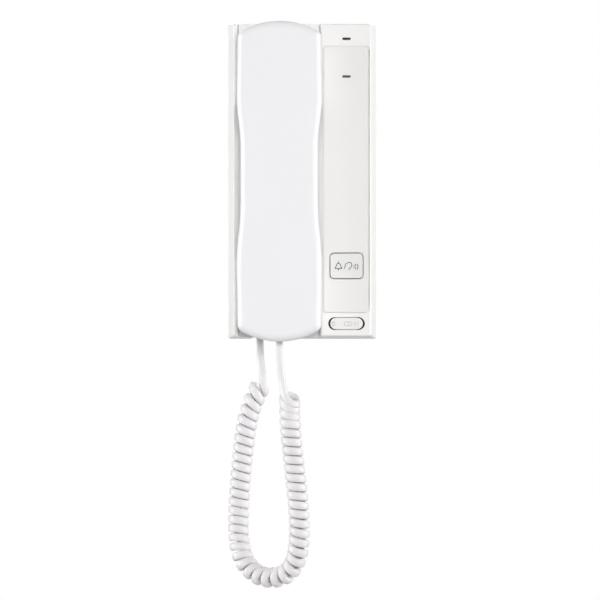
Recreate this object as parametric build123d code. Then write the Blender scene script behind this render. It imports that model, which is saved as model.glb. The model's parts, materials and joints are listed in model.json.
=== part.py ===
"""Audio intercom handset station for a wall, with its curly cord.

X runs to the right, Z up, and the wall is the plane Y = 0. Depths are measured from
the wall towards the person who uses the station, so a depth d lies at Y = -d.
All lengths are in millimetres.
"""

import math
import os

import numpy as np
from build123d import *

# Base outline
base_width = 98.6
base_height = 210.2
base_depth = 29.0
half_width = base_width / 2
half_height = base_height / 2
side_draft = 3.8
end_draft = 2.1
cover_back = 2.2
wall = 2.2
edge_round = 1.3
corner_round = 1.6
joint_gap = 0.2
overrun = 2.0

# Cradle
cradle_margin = 6.6
cradle_share = 0.55477
cradle_width = base_width * cradle_share
cradle_left = -half_width + cradle_margin
cradle_right = cradle_left + cradle_width
cradle_x = cradle_left + cradle_width / 2
pocket_floor = 15.0
pocket_round = 2.0
left_lip = 2.2
right_lip = 1.0
upper_pocket_low = half_height - 56.1
lower_pocket_high = -half_height + 54.1
scoop_floor = 22.0
scoop_width = cradle_width + 5.7
guide_rib_height = 2.6
guide_rib_length = 5.5
guide_rib_end = 0.8
lower_rib_width = 2.0
upper_rib_width = 1.0
lower_rib_spacing = cradle_width - 6.4
upper_rib_spacing = cradle_width - 2.1

# Control panel and what shows on the right half
panel_right_gap = 1.2
panel_groove_depth = 3.6
panel_groove_wall = 1.2
panel_left = cradle_right + 1.8
panel_right = half_width - 5.9
panel_top = half_height - 16.7
panel_bottom = -half_height + 17.7
controls_x = (panel_left + panel_right + panel_right_gap) / 2
panel_thickness = 1.3
panel_corner = 3.0
panel_gap = 0.3
panel_top_gap = 0.1
panel_seat = 0.05
collar_depth = 3.2

lens_width = 5.5
lens_height = 1.6
lens_gap = 0.05
lens_proud = 0.1
upper_lens_z = half_height - 11.9
lower_lens_z = panel_top - 20.1

button_width = panel_right - panel_left - 8.2
button_height = 16.5
button_corner = 2.7
button_gap = 0.6
button_z = panel_bottom + 30.7
button_proud = 0.4
button_wall = 1.6
button_travel = 0.6
flange_lip = 1.4
flange_thickness = 1.2
stem_radius = 1.6
stem_free_play = 0.1

key_width = panel_right - panel_left - 8.0
key_height = 7.8
key_end_gap = 1.25
key_side_gap = 0.35
key_z = -half_height + 10.35
key_proud = 0.4
key_flange_width = key_width - 8.6
key_flange_lip = 1.0
key_flange_drop = 0.75
key_pivot_depth = base_depth - 4.6
key_hub_radius = 1.7
key_pin_radius = 1.0
key_foot_offset = key_width / 2 - 3.8
key_foot_radius = 1.0
running_gap = 0.04
ear_thickness = 1.6
ear_gap = 0.3
ear_width = 4.4

# Boards
board_thickness = 1.6
key_board_back = base_depth - 10.0
key_board_left = panel_left + 1.8
key_board_right = panel_right - 0.8
key_board_top = half_height - 9.5
key_board_bottom = -half_height + 4.7
key_post_radius = 2.6
key_post_x = key_board_right - 3.6
key_post_middle = 2.0
key_post_heights = (lower_lens_z - 8.3, key_post_middle, button_z + 22.7)
main_board_back = 5.6
main_board_left = -half_width + 8.3
main_board_right = half_width - 13.3
main_board_top = half_height - 13.1
main_board_bottom = -half_height + 21.1
main_post_radius = 3.0
main_post_inset = 5.0
screw_radius = 1.25
screw_head_radius = 2.3
screw_head_height = 1.4
screw_length = 6.0
pilot_gap = 0.05
hole_gap = 0.2
switch_width = 6.0
switch_height = 3.4
plunger_radius = 1.5
led_length = 3.0
led_width = 1.6
led_height = 1.2
header_length = 20.0
header_width = 2.6
header_x = controls_x - 7.2

# Board parts: across, along, tall. The tall ones stay clear of the key board
board_gap = key_board_back - main_board_back - board_thickness
relay_room = 3.8
capacitor_room = 1.8
chip_size = (12.0, 12.0, 1.4)
driver_size = (8.0, 10.0, 1.6)
relay_size = (10.0, 15.0, board_gap - relay_room)
capacitor_radius = 4.0
capacitor_height = board_gap - capacitor_room
chip_place = (main_board_left + 12.0, 28.0)
driver_place = (main_board_left + 17.0, -38.0)
relay_place = (main_board_right - 10.0, 44.0)
capacitor_places = ((main_board_right - 12.0, -26.0), (main_board_right - 12.0, -38.0))

# Rear case and wall bracket
case_margin = 0.8
case_plate = 2.2
case_rim_wall = 1.6
case_rim_front = 8.0
bracket_width = 44.0
bracket_height = 118.0
bracket_thickness = 1.6
bracket_corner = 3.0
bracket_window_width = 30.0
bracket_window_height = 56.0
bracket_window_z = -5.0
bracket_gap = 0.3
tub_floor = 2.0
tub_wall = 2.0
tub_depth = 2.0
wall_screw_spacing = 83.5
wall_screw_radius = 2.2
wall_screw_head_room = 4.6
hook_tongue_width = 7.0
hook_tongue_spacing = 28.0
hook_tongue_z = 53.0
tongue_lip = 1.6
tongue_lip_gap = 0.1
tongue_lip_thickness = 1.0
tongue_drop = 3.4
slot_gap = 0.4
niche_width = 26.0
niche_top = 16.0
niche_bottom = -30.0
case_screw_x = half_width - 10.5
case_screw_z = half_height - 8.7
right_screw_x = half_width - 7.7
right_screw_z = half_height - 31.1
boss_radius = 3.0
case_screw_length = 8.0

# Network jack, mouth down, over the niche
net_jack_width = 16.0
net_jack_height = 13.0
net_jack_length = 16.0
net_jack_x = 3.0
net_jack_z = 2.0
net_cavity_width = 11.8
net_cavity_height = 8.0
net_cavity_depth = 12.5

# Speaker for the call tone
speaker_radius = 7.5
speaker_height = 3.8
speaker_depth = 12.0
speaker_z = half_height - 7.8
speaker_gap = 0.1
speaker_ring_wall = 1.4
speaker_ring_z = half_height - 8.1
slot_width = 1.2
slot_length = 10.0
slot_pitch = 2.6
slot_count = 5
notch_margin = 2.0

# Hook lever
hook_pivot_z = upper_pocket_low - 2.0
hook_pivot_depth = 9.6
hook_width = 7.0
hook_hub_radius = 2.0
hook_pin_radius = 1.0
hook_arm_back = 8.4
hook_arm_front = 10.4
hook_arm_top = hook_pivot_z + 19.5
hook_nose_low = hook_pivot_z + 12.5
hook_nose_front = 16.0
hook_nose_round = 1.5
hook_slot_side = 0.8
hook_slot_low = hook_pivot_z + 9.0
hook_slot_high = hook_pivot_z + 22.0
heel_low = hook_pivot_z - 14.0
heel_back = 13.5
heel_front = 15.5
heel_foot = 3.0
hook_ear_height = 4.8
hook_ear_back = 7.6
hook_switch_size = 6.0
hook_switch_height = 2.6
hook_switch_z = hook_pivot_z - 13.0
hook_plunger_height = 0.5
spring_width = 4.0
spring_thickness = 0.3
spring_seat_gap = 0.05
spring_low = hook_pivot_z - 9.0
spring_bend = hook_pivot_z + 3.0
spring_tip = hook_pivot_z + 15.0

pad_radius = 4.0
pad_height = 1.0
pad_spacing = cradle_width - 20.7
upper_pad_z = upper_pocket_low + 29.0
lower_pad_z = lower_pocket_high - 27.0

# Handset
handset_x = cradle_x + 0.35
handset_front = 60.0
handset_top = half_height - 2.0
handset_bottom = -half_height - 1.3
end_shoulder_top = handset_top - 7.9
end_shoulder_bottom = handset_bottom + 8.4
end_half_width = cradle_width / 2 + 0.45
shoulder_half_width = end_half_width - 0.6
waist_half_width = end_half_width - 2.5
neck_top = upper_pocket_low + 5.0
neck_bottom = lower_pocket_high - 5.0
waist_top = neck_top - 34.0
waist_bottom = neck_bottom + 39.0
outline_corner = 5.0
face_round = 4.8
face_bow = 1.7
parting_depth = 42.0
shell_step = 1.6
shell_wall = 2.2
boss_back = 16.3
waist_back = 39.0
boss_shoulder = 31.0
upper_boss_low = upper_pocket_low + 5.0
upper_boss_step = upper_boss_low - 2.5
upper_waist = upper_boss_low - 14.0
lower_boss_high = lower_pocket_high - 5.0
lower_boss_step = lower_boss_high + 2.5
lower_waist = lower_boss_high + 14.0
boss_top = handset_top - 11.1
boss_top_step = handset_top - 4.1
boss_bottom = handset_bottom + 11.4
boss_bottom_step = handset_bottom + 4.1
boss_end_depth = 24.0
face_cavity = 56.0

receiver_z = handset_top - 30.1
receiver_radius = 16.0
receiver_height = 9.5
gasket_thickness = 1.0
gasket_bore = 12.0
seat_wall = 1.2
seat_height = 5.0
seat_gap = 0.1
sound_hole_radius = 1.2
sound_ring_radius = 6.0
sound_ring_count = 6
mic_z = handset_bottom + 30.4
mic_radius = 4.85
mic_height = 6.7
boot_wall = 1.6
boot_base = 1.0
mic_hole_spacing = 3.0
weight_width = 26.0
weight_height = 6.0
handset_screw_z = upper_waist - 7.0
weight_length = 2 * handset_screw_z - 22.0
handset_screw_length = 12.0
handset_post_radius = 3.0
screw_sink = 1.4

# Cord jacks and plugs, one pair at each end of the cord
plug_width = 7.6
plug_height = 6.5
plug_length = 12.0
latch_width = 3.0
latch_thickness = 0.9
latch_gap = 0.6
latch_end = 1.5
jack_gap = 0.15
jack_width = 11.5
jack_height = 9.8
jack_length = 15.0
jack_wall = 1.2
base_jack_x = cradle_left + 14.6
base_jack_depth = 7.3
base_jack_mouth = -half_height + 0.9
handset_jack_depth = 40.0
handset_jack_mouth = handset_bottom + 1.4
mouth_margin = 0.2
lead_width = 4.0
lead_thickness = 0.8
lead_gap = 0.1

# Cord
wire_diameter = 4.2
coil_diameter = 13.9
coil_whole_turns = 45
coil_ramp = 6.0
bend_opening_share = 0.26
route_step = 0.25
parabola_steps = 400
bend_window = 40
gap_step = 0.5
turn_length_share = 0.6
fillet_share = 0.45

# Straight run from the plug in the base to the coil, from the jack's mouth
base_run_points = [
    (0.0, 0.0, 0.0),
    (0.0, 0.0, -7.0),
    (0.4, -2.6, -15.6),
    (1.3, -5.8, -23.8),
]
# Straight run from the plug in the handset to the coil, from the jack's mouth
handset_run_points = [
    (0.0, 0.0, 0.0),
    (0.0, 0.0, -7.5),
    (0.6, -0.9, -17.2),
    (1.8, -2.0, -26.6),
]
# Middle line of the coil between its two ends, from the middle between the two mouths
coil_middle_points = [
    (-4.5, 12.7, -31.7),
    (-8.7, 12.5, -37.4),
    (-13.3, 12.6, -47.9),
    (-16.3, 12.8, -61.4),
    (-18.5, 12.6, -82.4),
    (-20.5, 12.0, -106.4),
    (-21.1, 10.8, -128.4),
    (-19.1, 8.6, -144.9),
    (-10.1, 4.6, -156.0),
    (1.0, 0.0, -158.8),
    (12.1, -4.6, -155.6),
    (18.7, -8.6, -143.9),
    (20.0, -11.4, -125.4),
    (18.5, -12.8, -103.4),
    (15.8, -13.6, -79.4),
    (13.5, -14.2, -58.4),
    (12.7, -14.8, -44.4),
    (12.1, -15.8, -36.0),
]
# Side of the coil on which each straight run lies, seen from above
base_run_side = (0.0, -1.0, 0.0)
handset_run_side = (-0.66, -0.75, 0.0)

base_mouth = np.array((base_jack_x, -base_jack_depth, base_jack_mouth))
handset_mouth = np.array((handset_x, -handset_jack_depth, handset_jack_mouth))
base_run = base_mouth + base_run_points
handset_run = handset_mouth + handset_run_points
coil_middle = (base_mouth + handset_mouth) / 2 + coil_middle_points


def plate(shape, back, front, x=0.0, z=0.0):
    """A flat outline in X and Z, made solid between two depths."""
    placed = Plane.XZ.offset(back) * Pos(x, z) * shape
    return extrude(placed, front - back, dir=Plane.XZ.z_dir)


def upright(section, low, high):
    """A flat outline in X and Y, made solid between two heights."""
    return extrude(Plane.XY.offset(low) * section, high - low, dir=Plane.XY.z_dir)


def sideways(profile, left, right):
    """A flat outline in Y and Z, made solid between two places along X."""
    return extrude(Plane.YZ.offset(left) * profile, right - left, dir=Plane.YZ.z_dir)


def block(left, right, low, high, back, front):
    """A box given by its sides, its ends and its depths."""
    shape = Rectangle(right - left, high - low)
    return plate(shape, back, front, (left + right) / 2, (low + high) / 2)


def post(radius, back, front, x, z):
    """A round post along the depth."""
    return plate(Circle(radius), back, front, x, z)


def bar_x(radius, middle, length, depth, z):
    """A round bar along X."""
    return Pos(middle, -depth, z) * Rot(0, 90, 0) * Cylinder(radius, length)


def bar_z(radius, low, high, x, depth):
    """A round bar along Z."""
    return Pos(x, -depth, (low + high) / 2) * Cylinder(radius, high - low)


def screw(x, z, head_back, direction, length):
    """A pan-head screw along the depth; direction is 1 towards the user, -1 to the wall."""
    head_front = head_back + direction * screw_head_height
    tip = head_front + direction * length
    head = post(screw_head_radius, min(head_back, head_front), max(head_back, head_front), x, z)
    return head + post(screw_radius, min(head_front, tip), max(head_front, tip), x, z)


def round_vertices(shape, radius, wanted):
    """The outline with its wanted corners rounded."""
    return fillet(shape.vertices().filter_by(wanted), radius)


# Where the base's walls stand at a depth


def side_at(depth):
    return base_width / 2 - side_draft * (depth - cover_back) / (base_depth - cover_back)


def end_at(depth):
    return base_height / 2 - end_draft * (depth - cover_back) / (base_depth - cover_back)


front_inside = base_depth - wall
floor_inside = pocket_floor - wall
main_board_front = main_board_back + board_thickness
key_board_front = key_board_back + board_thickness
panel_floor = base_depth - panel_thickness - panel_seat
scoop_sag = base_depth - scoop_floor
scoop_radius = (scoop_width ** 2 / 4 + scoop_sag ** 2) / (2 * scoop_sag)
scoop_axis_depth = scoop_floor + scoop_radius
main_posts = [
    (x, z)
    for x in (main_board_left + main_post_inset, main_board_right - main_post_inset)
    for z in (main_board_top - main_post_inset, main_board_bottom + main_post_inset)
]
case_screws = [
    (-case_screw_x, case_screw_z),
    (-case_screw_x, -case_screw_z),
    (right_screw_x, right_screw_z),
    (right_screw_x, -right_screw_z),
]


def cover_prism(inset, front):
    """The base's outer form, moved inwards by inset: drafted sides and ends."""
    side_back = side_at(cover_back) - inset
    side_front = side_at(base_depth) - inset
    end_back = end_at(cover_back) - inset
    end_front = end_at(base_depth) - inset
    section = Polygon(
        (-side_back, -cover_back), (side_back, -cover_back),
        (side_front, -front), (-side_front, -front), align=None,
    )
    profile = Polygon(
        (-cover_back, -end_back), (-cover_back, end_back),
        (-front, end_front), (-front, -end_front), align=None,
    )
    solid = upright(section, -base_height, base_height)
    solid &= sideways(profile, -base_width, base_width)
    if inset == 0:
        corners = solid.edges().filter_by(
            lambda e: abs(e.center().X) > side_front and abs(e.center().Z) > end_front)
        solid = fillet(corners, corner_round)
        solid = fillet(solid.faces().sort_by(Axis.Y)[0].edges(), edge_round)
    return solid


def pocket(low, high):
    """The space for one end of the handset, open in front and at the base's end."""
    section = Polygon(
        (cradle_left, -pocket_floor), (cradle_right, -pocket_floor),
        (cradle_right, -base_depth - overrun), (cradle_left, -base_depth - overrun),
        align=None,
    )
    section = round_vertices(section, pocket_round, lambda v: v.Y > -base_depth)
    return upright(section, low, high)


def lip(edge, reach, low, high):
    """What is cut away to round a pocket's long edge; reach points away from the pocket."""
    radius = abs(reach)
    corner = block(
        min(edge, edge + reach), max(edge, edge + reach), low, high,
        base_depth - radius, base_depth + overrun)
    return corner - bar_z(radius, low - overrun, high + overrun, edge + reach, base_depth - radius)


def make_front_cover():
    cover = cover_prism(0, base_depth)
    ends = base_height / 2 + overrun
    cover -= pocket(upper_pocket_low, ends)
    cover -= pocket(-ends, lower_pocket_high)
    for low, high in ((upper_pocket_low, ends), (-ends, lower_pocket_high)):
        cover -= lip(cradle_left, -left_lip, low, high)
        cover -= lip(cradle_right, right_lip, low, high)
    scoop = bar_z(scoop_radius, lower_pocket_high, upper_pocket_low, cradle_x, scoop_axis_depth)
    cover -= scoop

    hollow = cover_prism(wall, front_inside)
    low_part = hollow & block(
        -base_width, base_width, -base_height, base_height, 0, floor_inside)
    right_part = hollow & block(
        cradle_right + wall, base_width, -base_height, base_height, 0, front_inside)
    middle = block(
        cradle_left + wall, cradle_right + 2 * wall,
        lower_pocket_high + wall, upper_pocket_low - wall, 0, front_inside)
    middle -= bar_z(scoop_radius + wall, -base_height, base_height, cradle_x, scoop_axis_depth)
    cover -= low_part + right_part + middle
    cover -= plate(Rectangle(base_width * 2, base_height * 2), 0, cover_back)

    # Panel recess, with the windows for the button's flange and the lower lens
    recess_right = panel_right + panel_right_gap
    recess = RectangleRounded(
        recess_right - panel_left + panel_gap,
        panel_top - panel_bottom + panel_gap + panel_top_gap, panel_corner)
    cover -= plate(
        recess, panel_floor, base_depth + overrun,
        (recess_right + panel_left - panel_gap) / 2,
        (panel_top + panel_top_gap + panel_bottom - panel_gap) / 2)
    groove_back = base_depth - panel_groove_depth
    groove_end = panel_top - panel_corner
    groove_foot = panel_bottom + panel_corner
    cover += block(
        panel_right - panel_groove_wall, recess_right + panel_groove_wall / 2,
        groove_foot - panel_groove_wall, groove_end + panel_groove_wall,
        groove_back - panel_groove_wall, panel_floor)
    cover -= block(
        panel_right, recess_right, groove_foot, groove_end, groove_back, base_depth + overrun)
    window_width = button_width + 2 * (flange_lip + button_gap)
    window_height = button_height + 2 * (flange_lip + button_gap)
    cover -= plate(
        Rectangle(window_width, window_height), floor_inside, base_depth,
        controls_x, button_z)
    for z in (upper_lens_z, lower_lens_z):
        cover -= plate(
            SlotOverall(lens_width + 2 * lens_gap, lens_height + 2 * lens_gap),
            floor_inside, base_depth + overrun, controls_x, z)
    cover -= plate(
        SlotOverall(key_width + 2 * key_end_gap, key_height + 2 * key_side_gap),
        floor_inside, base_depth + overrun, controls_x, key_z)

    # Ears that hold the pin of the volume key
    ear_reach = key_height / 2 + key_flange_lip + ear_gap
    for side in (-1, 1):
        inner = key_z + side * ear_reach
        outer = inner + side * ear_thickness
        cover += block(
            controls_x - ear_width / 2, controls_x + ear_width / 2,
            min(inner, outer), max(inner, outer),
            key_pivot_depth - ear_width / 2, front_inside)
    cover -= bar_z(
        key_pin_radius + hole_gap / 4, key_z - ear_reach - 2 * ear_thickness,
        key_z + ear_reach + 2 * ear_thickness, controls_x, key_pivot_depth)

    # Posts for the key board, and for the screws that close the case
    for z in key_post_heights:
        cover += post(key_post_radius, key_board_front, front_inside, key_post_x, z)
        cover -= post(
            screw_radius + pilot_gap, key_board_front, front_inside, key_post_x, z)
    for x, z in case_screws:
        top = floor_inside if x < 0 else front_inside
        cover += post(boss_radius, cover_back, top, x, z)
        cover -= post(screw_radius + pilot_gap, cover_back - overrun, floor_inside, x, z)

    # Slot, ears and pin holes for the hook lever
    half_slot = hook_width / 2 + hook_slot_side
    cover -= block(
        handset_x - half_slot, handset_x + half_slot, hook_slot_low, hook_slot_high,
        floor_inside - overrun, pocket_floor + overrun)
    for side in (-1, 1):
        inner = handset_x + side * (hook_width / 2 + ear_gap)
        outer = inner + side * ear_thickness
        cover += block(
            min(inner, outer), max(inner, outer), hook_pivot_z - hook_ear_height / 2,
            hook_pivot_z + hook_ear_height / 2, hook_ear_back, floor_inside + wall / 2)
    cover -= bar_x(
        hook_pin_radius + hole_gap / 4, handset_x, hook_width * 2,
        hook_pivot_depth, hook_pivot_z)

    # Guide ribs on the pocket floors
    for width, spacing, side in (
        (lower_rib_width, lower_rib_spacing, -1), (upper_rib_width, upper_rib_spacing, 1)
    ):
        for way in (-1, 1):
            x = cradle_x + way * spacing / 2
            end = side * (end_at(pocket_floor + guide_rib_height) - guide_rib_end)
            start = end - side * guide_rib_length
            cover += block(
                x - width / 2, x + width / 2, min(start, end), max(start, end),
                pocket_floor, pocket_floor + guide_rib_height)

    # Ring for the speaker and the slots above it
    inside_top = end_at(speaker_depth) - wall
    ring = bar_z(
        speaker_radius + speaker_gap + speaker_ring_wall, speaker_ring_z,
        inside_top + wall / 2, controls_x, speaker_depth)
    ring -= bar_z(
        speaker_radius + speaker_gap, 0, inside_top, controls_x, speaker_depth)
    cover += ring & cover_prism(wall / 2, base_depth)
    for step in range(slot_count):
        x = controls_x + (step - (slot_count - 1) / 2) * slot_pitch
        cover -= block(
            x - slot_width / 2, x + slot_width / 2, speaker_ring_z, base_height,
            speaker_depth - slot_length / 2, speaker_depth + slot_length / 2)

    # Mouth for the cord's plug in the bottom wall
    cover -= block(
        base_jack_x - jack_width / 2 - mouth_margin, base_jack_x + jack_width / 2 + mouth_margin,
        -base_height, -base_height / 2 + 2 * wall + end_draft, 0, floor_inside)
    return cover


def make_control_panel():
    outline = RectangleRounded(
        panel_right - panel_left, panel_top - panel_bottom, panel_corner)
    panel = plate(
        outline, base_depth - panel_thickness, base_depth,
        (panel_left + panel_right) / 2, (panel_top + panel_bottom) / 2)
    panel += plate(
        Rectangle(button_width + 2 * flange_lip, button_height + 2 * flange_lip),
        base_depth - panel_thickness - collar_depth, base_depth - panel_thickness / 2,
        controls_x, button_z)
    panel -= plate(
        RectangleRounded(
            button_width + 2 * button_gap, button_height + 2 * button_gap,
            button_corner + button_gap),
        0, base_depth + overrun, controls_x, button_z)
    panel -= plate(
        SlotOverall(lens_width + 2 * lens_gap, lens_height + 2 * lens_gap),
        0, base_depth + overrun, controls_x, lower_lens_z)
    return panel


def make_lens(z):
    """An indicator lens that reaches back to its lamp on the key board."""
    return plate(
        SlotOverall(lens_width, lens_height), key_board_front + led_height + lens_gap,
        base_depth + lens_proud, controls_x, z)


def make_call_button():
    """A hollow cap with a flange behind the panel's collar and a stem over its switch."""
    front = base_depth + button_proud
    flange_front = base_depth - panel_thickness - collar_depth - panel_seat
    cap = plate(
        RectangleRounded(button_width, button_height, button_corner),
        flange_front - flange_thickness, front, controls_x, button_z)
    cap = fillet(cap.faces().sort_by(Axis.Y)[0].edges(), button_wall / 4)
    cap += plate(
        Rectangle(button_width + 2 * flange_lip, button_height + 2 * flange_lip),
        flange_front - flange_thickness, flange_front, controls_x, button_z)
    cap -= plate(
        RectangleRounded(
            button_width - 2 * button_wall, button_height - 2 * button_wall,
            button_corner - button_wall / 2),
        0, front - button_wall, controls_x, button_z)
    stem_back = key_board_front + switch_height + button_travel + stem_free_play
    return cap + post(stem_radius, stem_back, front - button_wall / 2, controls_x, button_z)


def make_volume_key():
    """A pill key that rocks on a pin behind its middle."""
    front = base_depth + key_proud
    flange_front = front_inside - key_flange_drop
    key = plate(SlotOverall(key_width, key_height), flange_front, front, controls_x, key_z)
    key = fillet(key.faces().sort_by(Axis.Y)[0].edges(), button_wall / 4)
    flange_height = key_height + 2 * key_flange_lip
    key += plate(
        Rectangle(key_flange_width, flange_height),
        key_pivot_depth, flange_front, controls_x, key_z)
    key += bar_z(
        key_hub_radius, key_z - flange_height / 2, key_z + flange_height / 2,
        controls_x, key_pivot_depth)
    for side in (-1, 1):
        x = controls_x + side * key_foot_offset
        key += post(
            key_foot_radius, key_board_front + switch_height + button_travel,
            flange_front + flange_thickness, x, key_z)
    return key - bar_z(
        key_pin_radius + running_gap, key_z - flange_height, key_z + flange_height,
        controls_x, key_pivot_depth)


def make_volume_pin():
    reach = key_height / 2 + key_flange_lip + ear_gap + ear_thickness
    return bar_z(key_pin_radius, key_z - reach, key_z + reach, controls_x, key_pivot_depth)


def make_key_board():
    board = block(
        key_board_left, key_board_right, key_board_bottom, key_board_top,
        key_board_back, key_board_front)
    for z in key_post_heights:
        board -= post(screw_radius + hole_gap, 0, base_depth, key_post_x, z)
    for side in (-1, 1):
        board -= post(
            boss_radius + slot_gap, 0, base_depth, right_screw_x, side * right_screw_z)
    return board


def make_key_board_screws():
    return [
        screw(key_post_x, z, key_board_back - screw_head_height, 1,
              board_thickness + screw_length - overrun)
        for z in key_post_heights
    ]


def make_switch(x, z):
    """A push switch on the key board."""
    body_front = key_board_front + switch_height / 2
    body = block(
        x - switch_width / 2, x + switch_width / 2, z - switch_width / 2,
        z + switch_width / 2, key_board_front, body_front)
    return body + post(plunger_radius, body_front, key_board_front + switch_height, x, z)


def make_volume_switches():
    return [make_switch(controls_x + side * key_foot_offset, key_z) for side in (-1, 1)]


def make_indicator_leds():
    return [
        block(
            controls_x - led_length / 2, controls_x + led_length / 2, z - led_width / 2,
            z + led_width / 2, key_board_front, key_board_front + led_height)
        for z in (upper_lens_z, lower_lens_z)
    ]


def make_main_board():
    board = block(
        main_board_left, main_board_right, main_board_bottom, main_board_top,
        main_board_back, main_board_front)
    board -= block(
        -niche_width / 2, niche_width / 2, niche_bottom, net_jack_z, 0, base_depth)
    for x, z in main_posts:
        board -= post(screw_radius + hole_gap, 0, base_depth, x, z)
    return board


def make_board_screws():
    return [
        screw(x, z, main_board_front + screw_head_height, -1, screw_length - overrun)
        for x, z in main_posts
    ]


def on_board(size, place):
    """A part of the given size that stands on the main board."""
    width, length, height = size
    x, z = place
    return block(
        x - width / 2, x + width / 2, z - length / 2, z + length / 2,
        main_board_front, main_board_front + height)


def make_board_parts():
    parts = [
        on_board(chip_size, chip_place),
        on_board(driver_size, driver_place),
        on_board(relay_size, relay_place),
    ]
    for x, z in capacitor_places:
        parts.append(
            post(capacitor_radius, main_board_front, main_board_front + capacitor_height, x, z))
    return parts


def make_board_link():
    """The pin header that joins the main board to the key board."""
    return block(
        header_x - header_width / 2, header_x + header_width / 2, -header_length / 2,
        header_length / 2, main_board_front, key_board_back)


def make_rear_case():
    case = plate(
        RectangleRounded(
            base_width - 2 * case_margin, base_height - 2 * case_margin, corner_round),
        0, case_plate)
    rim_width = 2 * (side_at(case_rim_front) - wall - joint_gap)
    rim_height = 2 * (end_at(case_rim_front) - wall - joint_gap)
    case += plate(
        Rectangle(rim_width, rim_height)
        - Rectangle(rim_width - 2 * case_rim_wall, rim_height - 2 * case_rim_wall),
        case_plate, case_rim_front)
    pocket_width = bracket_width + 2 * bracket_gap
    pocket_height = bracket_height + 2 * bracket_gap
    case += plate(
        Rectangle(pocket_width + 2 * tub_wall, pocket_height + 2 * tub_wall),
        0, tub_depth + tub_floor)
    case -= plate(RectangleRounded(pocket_width, pocket_height, bracket_corner), 0, tub_depth)
    case -= block(
        -niche_width / 2, niche_width / 2, niche_bottom, niche_top, 0, case_rim_front)
    for side in (-1, 1):
        case -= post(wall_screw_head_room, 0, case_rim_front, 0, side * wall_screw_spacing / 2)
        x = side * hook_tongue_spacing / 2
        case -= block(
            x - hook_tongue_width / 2 - slot_gap, x + hook_tongue_width / 2 + slot_gap,
            hook_tongue_z - tongue_drop, hook_tongue_z + bracket_thickness,
            0, case_rim_front)
    for x, z in main_posts:
        case += post(main_post_radius, 0, main_board_back, x, z)
        case -= post(screw_radius + pilot_gap, case_plate / 2, main_board_back, x, z)
    for x, z in case_screws:
        case -= post(boss_radius + joint_gap, case_plate, case_rim_front, x, z)
        case -= post(screw_radius + hole_gap, 0, case_plate, x, z)
        case -= post(screw_head_radius + hole_gap, 0, screw_head_height, x, z)
    # Notches in the rim for the speaker's ring and for the cord jack
    half_notch = speaker_radius + speaker_ring_wall + notch_margin
    case -= block(
        controls_x - half_notch, controls_x + half_notch, speaker_ring_z - notch_margin,
        base_height, case_plate, case_rim_front)
    case -= block(
        base_jack_x - jack_width / 2 - mouth_margin, base_jack_x + jack_width / 2 + mouth_margin,
        -base_height, base_jack_mouth + jack_length, case_plate, case_rim_front)
    return case


def make_case_screws():
    return [screw(x, z, 0, 1, case_screw_length) for x, z in case_screws]


def make_wall_bracket():
    bracket = plate(
        RectangleRounded(bracket_width, bracket_height, bracket_corner), 0, bracket_thickness)
    bracket -= plate(
        RectangleRounded(bracket_window_width, bracket_window_height, bracket_corner),
        0, bracket_thickness, 0, bracket_window_z)
    lip_back = tub_depth + tub_floor + tongue_lip_gap
    for side in (-1, 1):
        bracket -= post(
            wall_screw_radius, 0, bracket_thickness, 0, side * wall_screw_spacing / 2)
        x = side * hook_tongue_spacing / 2
        left = x - hook_tongue_width / 2
        right = x + hook_tongue_width / 2
        top = hook_tongue_z + bracket_thickness
        bracket += block(
            left, right, hook_tongue_z, top - joint_gap / 2,
            bracket_thickness, lip_back + tongue_lip_thickness)
        bracket += block(
            left, right, hook_tongue_z, top + tongue_lip,
            lip_back, lip_back + tongue_lip_thickness)
    return bracket


def make_network_jack():
    middle_z = net_jack_z + net_jack_length / 2
    jack = block(
        net_jack_x - net_jack_width / 2, net_jack_x + net_jack_width / 2,
        net_jack_z, net_jack_z + net_jack_length,
        main_board_front, main_board_front + net_jack_height)
    cavity_back = main_board_front + (net_jack_height - net_cavity_height) / 2
    jack -= block(
        net_jack_x - net_cavity_width / 2, net_jack_x + net_cavity_width / 2,
        net_jack_z, net_jack_z + net_cavity_depth,
        cavity_back, cavity_back + net_cavity_height)
    jack -= block(
        net_jack_x - net_cavity_width / 4, net_jack_x + net_cavity_width / 4,
        net_jack_z, middle_z, cavity_back + net_cavity_height,
        cavity_back + net_cavity_height + jack_wall)
    return jack


def make_ringer_speaker():
    basket = bar_z(
        speaker_radius, speaker_z, speaker_z + speaker_height, controls_x, speaker_depth)
    return basket - Pos(controls_x, -speaker_depth, speaker_z + speaker_height) * Cone(
        speaker_radius / 4, speaker_radius - speaker_gap * 4, speaker_height / 2)


def make_hook_lever():
    left = handset_x - hook_width / 2
    right = handset_x + hook_width / 2
    lever = bar_x(hook_hub_radius, handset_x, hook_width, hook_pivot_depth, hook_pivot_z)
    lever += block(left, right, hook_pivot_z, hook_arm_top, hook_arm_back, hook_arm_front)
    nose = Polygon(
        (-hook_arm_back, hook_nose_low), (-hook_arm_back, hook_arm_top),
        (-hook_nose_front, hook_arm_top), (-hook_nose_front, hook_nose_low), align=None)
    nose = round_vertices(nose, hook_nose_round, lambda v: v.X < -hook_arm_front)
    lever += sideways(nose, left, right)
    heel = Polygon(
        (-hook_pivot_depth + hook_hub_radius / 2, hook_pivot_z),
        (-hook_arm_front, hook_pivot_z + hook_hub_radius / 4),
        (-heel_front, heel_low + heel_foot * 2),
        (-heel_front, heel_low), (-heel_back, heel_low),
        (-heel_back, heel_low + heel_foot), align=None)
    lever += sideways(heel, left, right)
    return lever - bar_x(
        hook_pin_radius + running_gap, handset_x, 2 * hook_width,
        hook_pivot_depth, hook_pivot_z)


def make_hook_pin():
    length = hook_width + 2 * (ear_gap + ear_thickness)
    return bar_x(hook_pin_radius, handset_x, length, hook_pivot_depth, hook_pivot_z)


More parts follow.
